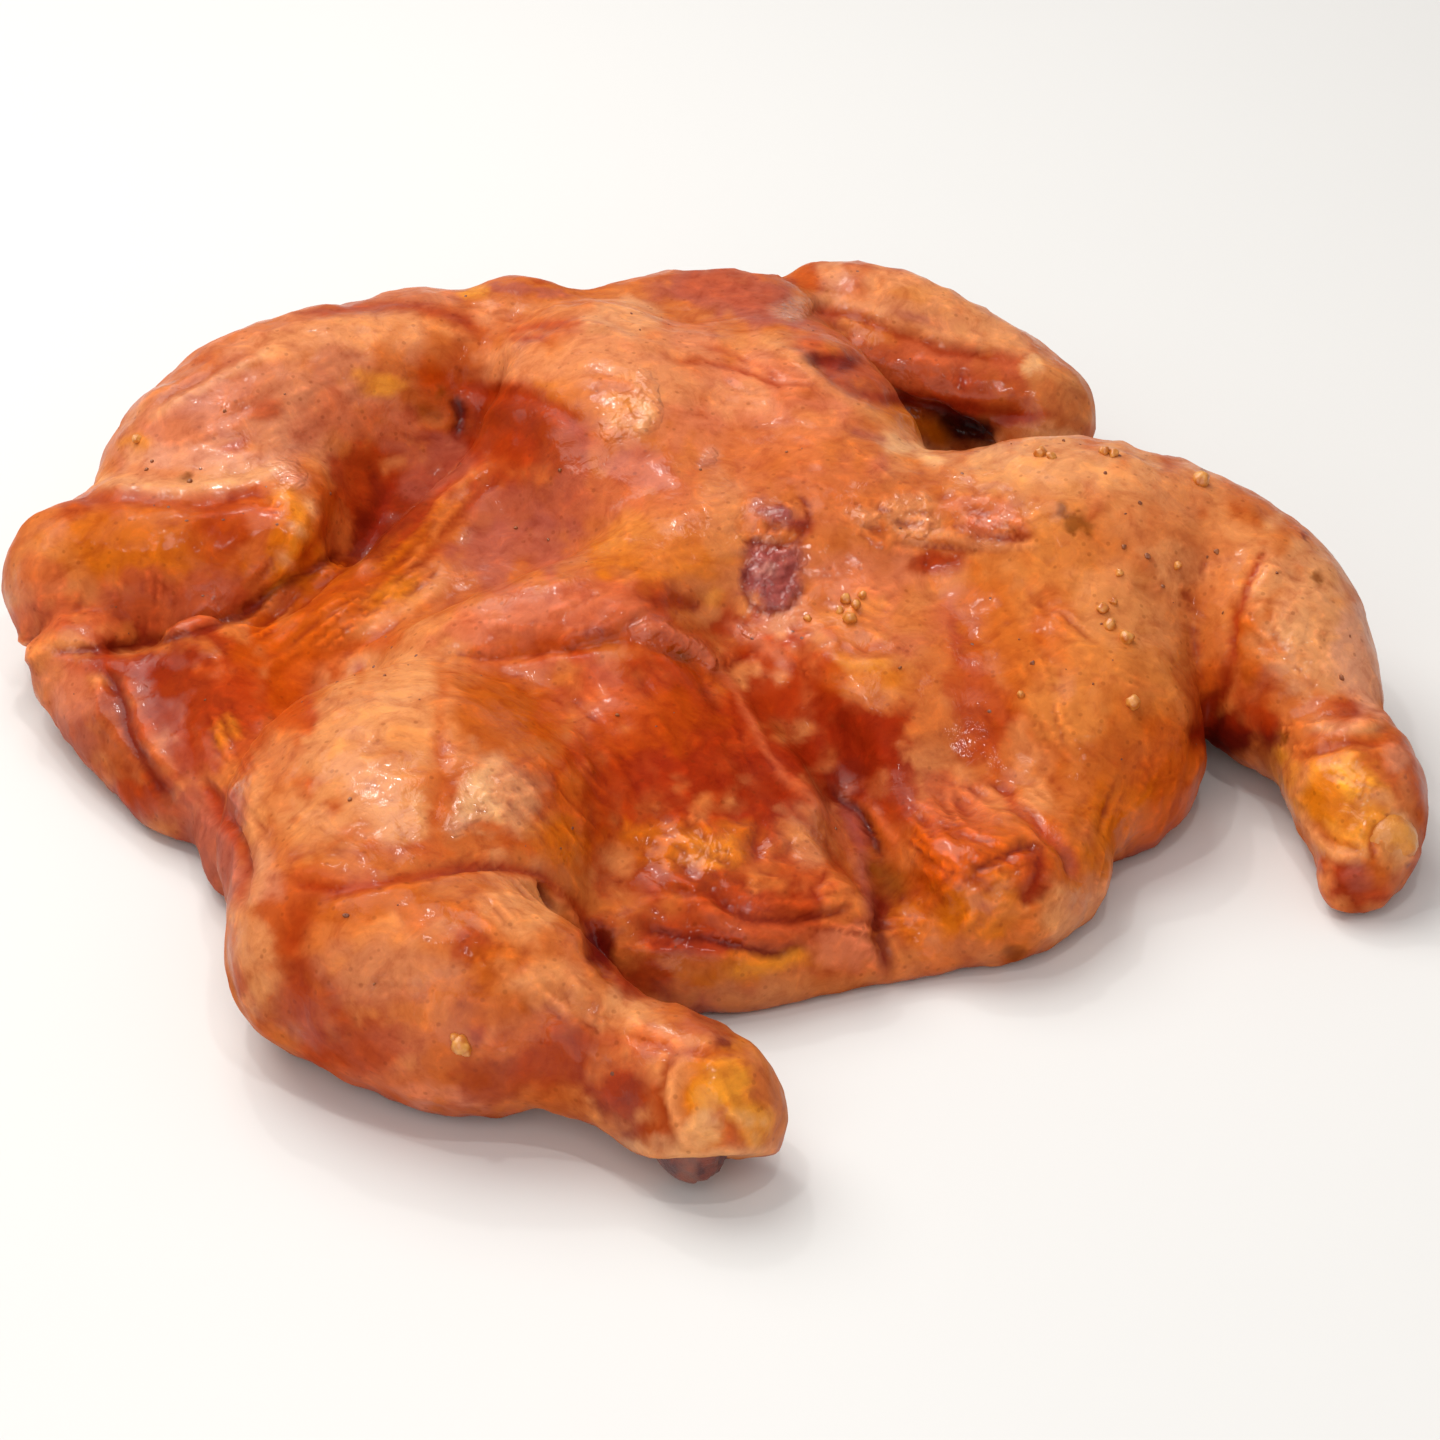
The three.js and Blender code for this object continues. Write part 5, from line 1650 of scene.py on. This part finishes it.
def bone_rings(knee, hock):
    """Points and faces of a shank bone with knobs at both ends, and how
    much each point belongs to the pale rim of its end."""
    start = np.array(knee, float)
    axis = np.array(hock, float) - start
    stops = [
        (-0.13, 0.15 * BONE_KNEE), (-0.1, 0.55 * BONE_KNEE), (-0.05, 0.85 * BONE_KNEE), (0, BONE_KNEE),
        (0.12, BONE_KNEE), (0.3, BONE_SHAFT), (0.5, 0.95 * BONE_SHAFT), (0.7, BONE_SHAFT), (0.9, BONE_HOCK),
        (1, BONE_HOCK), (1.05, 0.85 * BONE_HOCK), (1.08, 0.6 * BONE_HOCK), (1.085, 0.25 * BONE_HOCK),
    ]
    across = np.cross((0, 0, 1), axis)
    across = across / np.linalg.norm(across)
    up = np.cross(axis, across)
    up = up / np.linalg.norm(up)
    path = spline(stops)
    angles = np.linspace(0, 2 * math.pi, BONE_SIDES, endpoint=False)
    points = []
    rims = []
    for t, radius in path:
        for angle in angles:
            two_knobs = 1 - 0.1 * math.cos(2 * angle) * float(smooth_step(0.75, 1.0, t))
            outward = across * math.cos(angle) + up * math.sin(angle)
            points.append(start + axis * t + outward * radius * two_knobs)
            rims.append(float(smooth_step(0.98, 1.02, t) * (1 - smooth_step(1.055, 1.075, t))))
    faces = []
    for ring in range(len(path) - 1):
        near = ring * BONE_SIDES
        far = near + BONE_SIDES
        for i in range(BONE_SIDES):
            j = (i + 1) % BONE_SIDES
            faces.append((near + i, near + j, far + j, far + i))
    last = (len(path) - 1) * BONE_SIDES
    faces.append(tuple(reversed(range(BONE_SIDES))))
    faces.append(tuple(last + i for i in range(BONE_SIDES)))
    return np.array(points), faces, np.array(rims)


class CHICKEN_OT_shank_bones(bpy.types.Operator):
    """Make the two shank bones that show at the hocks"""
    bl_idname = "chicken.shank_bones"
    bl_label = "Shank bones"

    def execute(self, context):
        for name, ends in BONES.items():
            points, faces, rims = bone_rings(**ends)
            middle = points.mean(0)
            swell = 0.03 * rough_noise(points / 3, SEEDS["bones"])
            points = middle + (points - middle) * (1 + swell[:, None])
            mesh = bpy.data.meshes.new(name + "_piece")
            mesh.from_pydata(((points - PLAN_MIDDLE) * MM).tolist(), [], faces)
            mesh.update()
            mesh.shade_smooth()
            rim = mesh.attributes.new("rim", "FLOAT", "POINT")
            rim.data.foreach_set("value", rims.astype(np.float32))
            mesh.materials.append(bone_material(name, *BONE_COLOURS[name]))
            piece = new_piece(name + "_piece", mesh)
            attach(piece, "root")
            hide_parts(name)
        return {"FINISHED"}


def new_group(name, inputs):
    """Geometry Nodes group with a mesh going in and out: its tree, its input
    sockets, and the identifier of each named input."""
    group = bpy.data.node_groups.new(name, "GeometryNodeTree")
    face = group.interface
    face.new_socket("Geometry", in_out="INPUT", socket_type="NodeSocketGeometry")
    identifiers = {}
    for label, kind in inputs.items():
        identifiers[label] = face.new_socket(label, in_out="INPUT", socket_type=kind).identifier
    face.new_socket("Geometry", in_out="OUTPUT", socket_type="NodeSocketGeometry")
    tree = Tree(group)
    group_in = group.nodes.new("NodeGroupInput")
    given = [Socket(tree, group_in.outputs[i]) for i in range(len(inputs) + 1)]
    return tree, given, identifiers


def end_group(tree, solid, finish):
    """Gives the group's result its material, and sends it out."""
    finished = tree.node("GeometryNodeSetMaterial", None, Geometry=solid, Material=finish)
    group_out = tree.tree.nodes.new("NodeGroupOutput")
    tree.tree.links.new(finished.output, group_out.inputs[0])


def run_group(piece, tree, identifiers, values):
    """Runs a group on a piece with these values of its named inputs."""
    made = piece.modifiers.new("made", "NODES")
    made.node_group = tree.tree
    for label, value in values.items():
        made[identifiers[label]] = value
    make_plain(piece)


def grain_tree():
    """Lumpy grains on the points of a mesh, each as wide as its size says."""
    tree, given, identifiers = new_group("grains_on_points", {
        "Grain scale": "NodeSocketFloat",
        "Lump height": "NodeSocketFloat",
        "Finish": "NodeSocketMaterial",
    })
    places, scale, lump_height, finish = given
    ball = tree.node("GeometryNodeMeshIcoSphere", None, Radius=0.5, Subdivisions=3)
    size = tree.node("GeometryNodeInputNamedAttribute", {"data_type": "FLOAT"}, "size")
    turn = tree.node("FunctionNodeRandomValue", {"data_type": "FLOAT_VECTOR"}, Seed=SEEDS["grain_turn"])
    rotation = tree.node("ShaderNodeVectorMath", {"operation": "SCALE"}, turn, Scale=GRAIN_TURN)
    placed = tree.node(
        "GeometryNodeInstanceOnPoints", None, Points=places, Instance=ball, Rotation=rotation,
        Scale=size * scale)
    solid = tree.node("GeometryNodeRealizeInstances", None, placed)
    bumps = tree.node("ShaderNodeTexNoise", None, Scale=700, Detail=2)
    swell = (bumps - 0.5) * lump_height
    outward = tree.node("GeometryNodeInputNormal", None)
    offset = tree.node("ShaderNodeVectorMath", {"operation": "SCALE"}, outward, Scale=swell)
    lumpy = tree.node("GeometryNodeSetPosition", None, Geometry=solid, Offset=offset)
    shaded = tree.node("GeometryNodeSetShadeSmooth", None, lumpy)
    end_group(tree, shaded, finish)
    return tree, identifiers


def flake_tree(seed):
    """Flat flakes scattered over a surface where its spice attribute is high."""
    tree, given, identifiers = new_group("flakes_on_skin", {
        "Flake size": "NodeSocketFloat",
        "Density": "NodeSocketFloat",
        "Finish": "NodeSocketMaterial",
    })
    skin, size, density, finish = given
    spice = tree.node("GeometryNodeInputNamedAttribute", {"data_type": "FLOAT"}, "spice")
    spread = tree.node(
        "GeometryNodeDistributePointsOnFaces", None, Mesh=skin, Density=spice * density, Seed=seed)
    rotation = Socket(tree, spread.output.node.outputs["Rotation"])
    ball = tree.node("GeometryNodeMeshIcoSphere", None, Radius=0.5, Subdivisions=1)
    long_side = random_value(tree, 0.4, 1.3, seed + 1) * size
    short_side = long_side * random_value(tree, 0.5, 0.9, seed + 2)
    shape = tree.node("ShaderNodeCombineXYZ", None, X=long_side, Y=short_side, Z=size * 0.35)
    placed = tree.node(
        "GeometryNodeInstanceOnPoints", None, Points=spread, Instance=ball, Rotation=rotation, Scale=shape)
    solid = tree.node("GeometryNodeRealizeInstances", None, placed)
    end_group(tree, solid, finish)
    return tree, identifiers


def random_value(tree, low, high, seed):
    """A random number for each flake."""
    node = tree.tree.nodes.new("FunctionNodeRandomValue")
    node.data_type = "FLOAT"
    node.inputs[2].default_value = low
    node.inputs[3].default_value = high
    node.inputs["Seed"].default_value = seed
    return Socket(tree, node.outputs[1])


def pixel_ray(x, y):
    """Direction from the camera through a place in the picture."""
    ray = -BACK + RIGHT * (x - PICTURE / 2) / FOCAL + UP * (PICTURE / 2 - y) / FOCAL
    return ray / np.linalg.norm(ray)


def on_skin(skin, x, y):
    """Where a place in the picture meets the skin, and the skin's normal there."""
    eye = Vector((EYE - PLAN_MIDDLE) * MM)
    place, normal, _, _ = skin.ray_cast(eye, Vector(pixel_ray(x, y)))
    if place is None:
        raise RuntimeError(f"nothing at pixel {x}, {y}")
    return np.array(place), np.array(normal)


def skin_tree():
    """The bird's skin, to be met by rays."""
    skin = bpy.data.objects["bird_skin"]
    return BVHTree.FromPolygons(
        [v.co for v in skin.data.vertices], [tuple(p.vertices) for p in skin.data.polygons])


def grains_on_skin(name, grains, lift, scale, material):
    """Lumpy grains on the skin, raised by a share of their size."""
    skin = skin_tree()
    places = []
    for x, y, size in grains:
        place, normal = on_skin(skin, x, y)
        places.append(tuple(place + normal * size * MM * lift))
    mesh = bpy.data.meshes.new(name)
    mesh.from_pydata(places, [], [])
    sizes = mesh.attributes.new("size", "FLOAT", "POINT")
    sizes.data.foreach_set("value", np.array([grain[2] * MM for grain in grains], np.float32))
    piece = new_piece(name, mesh)
    tree, identifiers = grain_tree()
    run_group(piece, tree, identifiers, {"Grain scale": scale, "Lump height": LUMP, "Finish": material})
    return piece


class CHICKEN_OT_garlic_grains(bpy.types.Operator):
    """Put grains of garlic on the skin"""
    bl_idname = "chicken.garlic_grains"
    bl_label = "Garlic grains"

    def execute(self, context):
        spices = context.scene.chicken_spices
        material = grain_material("toasted_garlic", *GARLIC_COLOURS, scale=500, roughness=0.4)
        piece = grains_on_skin("garlic_grains", GRAINS, 0.15, spices.grain_scale, material)
        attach(piece, "root")
        return {"FINISHED"}


class CHICKEN_OT_herb_scraps(bpy.types.Operator):
    """Put scraps of herbs and cracked pepper on the skin"""
    bl_idname = "chicken.herb_scraps"
    bl_label = "Herb scraps"

    def execute(self, context):
        spices = context.scene.chicken_spices
        material = grain_material("dark_herbs", *HERB_COLOURS, scale=900, roughness=0.6)
        piece = grains_on_skin("herb_scraps", SCRAPS, 0.0, spices.scrap_scale, material)
        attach(piece, "root")
        return {"FINISHED"}


class CHICKEN_OT_pepper_flakes(bpy.types.Operator):
    """Scatter flakes of pepper and herbs over the skin"""
    bl_idname = "chicken.pepper_flakes"
    bl_label = "Pepper flakes"

    def execute(self, context):
        spices = context.scene.chicken_spices
        piece = new_piece("pepper_flakes", bpy.data.objects["bird_skin"].data.copy())
        tree, identifiers = flake_tree(SEEDS["flakes"])
        run_group(piece, tree, identifiers, {
            "Flake size": spices.flake_size,
            "Density": spices.flake_density,
            "Finish": grain_material("pepper", *PEPPER_COLOURS, scale=900, roughness=0.6),
        })
        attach(piece, "root")
        return {"FINISHED"}


def floor_material():
    """Plain floor, almost white."""
    material, tree = new_material("pale_floor")
    cloud = noise(tree, scale=3, detail=3, roughness=0.5)
    colour = tree.mix(cloud, *[linear_rgba(shade) for shade in FLOOR_COLOURS])
    shader = tree.node("ShaderNodeBsdfPrincipled", None, Base_Color=colour, Roughness=0.8)
    tree.node("ShaderNodeOutputMaterial", None, shader)
    return material


def area_light(name, place, width, power, colour=DAYLIGHT):
    """Round light that looks at the bird."""
    light = bpy.data.lights.new(name, "AREA")
    light.shape = "DISK"
    light.size = width
    light.energy = power
    light.color = colour
    lamp = bpy.data.objects.new(name, light)
    lamp.location = place
    lamp.rotation_euler = (Vector(LIGHT_TARGET) - Vector(place)).to_track_quat("-Z", "Y").to_euler()
    bpy.context.scene.collection.objects.link(lamp)


def studio_world(strength):
    """White light from all around."""
    world = bpy.data.worlds.new("studio")
    world.use_nodes = True
    background = world.node_tree.nodes["Background"]
    background.inputs["Color"].default_value = (1, 1, 1, 1)
    background.inputs["Strength"].default_value = strength
    return world


def photo_camera():
    """Camera at the photograph's angle."""
    lens = bpy.data.cameras.new("camera")
    lens.sensor_width = SENSOR
    lens.lens = FOCAL * SENSOR / PICTURE
    lens.clip_start = 0.05
    camera = bpy.data.objects.new("camera", lens)
    camera.location = (EYE - PLAN_MIDDLE) * MM
    camera.rotation_euler = Vector(-BACK).to_track_quat("-Z", "Y").to_euler()
    bpy.context.scene.collection.objects.link(camera)
    return camera


class CHICKEN_OT_stage(bpy.types.Operator):
    """Make the floor, the lights and the camera"""
    bl_idname = "chicken.stage"
    bl_label = "Stage"

    def execute(self, context):
        stage = context.scene.chicken_stage
        half = stage.floor_size / 2
        mesh = bpy.data.meshes.new("floor")
        corners = [(-half, -half, 0), (half, -half, 0), (half, half, 0), (-half, half, 0)]
        mesh.from_pydata(corners, [], [(0, 1, 2, 3)])
        mesh.materials.append(floor_material())
        floor = new_piece("floor", mesh)
        area_light("key", KEY_PLACE, SOFT_WIDTH, stage.key_power, KEY_COLOUR)
        area_light("fill", FILL_PLACE, SOFT_WIDTH, stage.fill_power)
        for name, place in GLINTS.items():
            area_light(name, place, GLINT_WIDTH, stage.glint_power)
        context.scene.world = studio_world(stage.room_light)
        context.scene.view_settings.view_transform = "Standard"
        context.scene.camera = photo_camera()
        return {"FINISHED"}


class CHICKEN_PT_panel(bpy.types.Panel):
    """Sizes, colours and steps of the chicken"""
    bl_idname = "CHICKEN_PT_panel"
    bl_label = "Spatchcock chicken"
    bl_space_type = "VIEW_3D"
    bl_region_type = "UI"
    bl_category = "Chicken"

    def draw(self, context):
        layout = self.layout
        for name in SETTINGS:
            group = getattr(context.scene, name)
            box = layout.box()
            for prop in group.bl_rna.properties.keys():
                if prop not in ("rna_type", "name"):
                    box.prop(group, prop)
        for operator in OPERATORS:
            layout.operator(operator.bl_idname)


SETTINGS = {
    "chicken_bird": BirdSettings,
    "chicken_glaze": GlazeSettings,
    "chicken_spices": SpiceSettings,
    "chicken_stage": StageSettings,
}
OPERATORS = [
    CHICKEN_OT_stage,
    CHICKEN_OT_skin,
    CHICKEN_OT_shank_bones,
    CHICKEN_OT_garlic_grains,
    CHICKEN_OT_herb_scraps,
    CHICKEN_OT_pepper_flakes,
]


def register():
    for cls in [*SETTINGS.values(), *OPERATORS, CHICKEN_PT_panel]:
        bpy.utils.register_class(cls)
    for name, cls in SETTINGS.items():
        setattr(bpy.types.Scene, name, bpy.props.PointerProperty(type=cls))


def unregister():
    for name in SETTINGS:
        delattr(bpy.types.Scene, name)
    for cls in reversed([*SETTINGS.values(), *OPERATORS, CHICKEN_PT_panel]):
        bpy.utils.unregister_class(cls)


def main():
    """Makes the stage and every piece."""
    register()
    bpy.ops.chicken.stage()
    bpy.ops.chicken.skin()
    bpy.ops.chicken.shank_bones()
    bpy.ops.chicken.garlic_grains()
    bpy.ops.chicken.herb_scraps()
    bpy.ops.chicken.pepper_flakes()


if __name__ == "__main__":
    main()
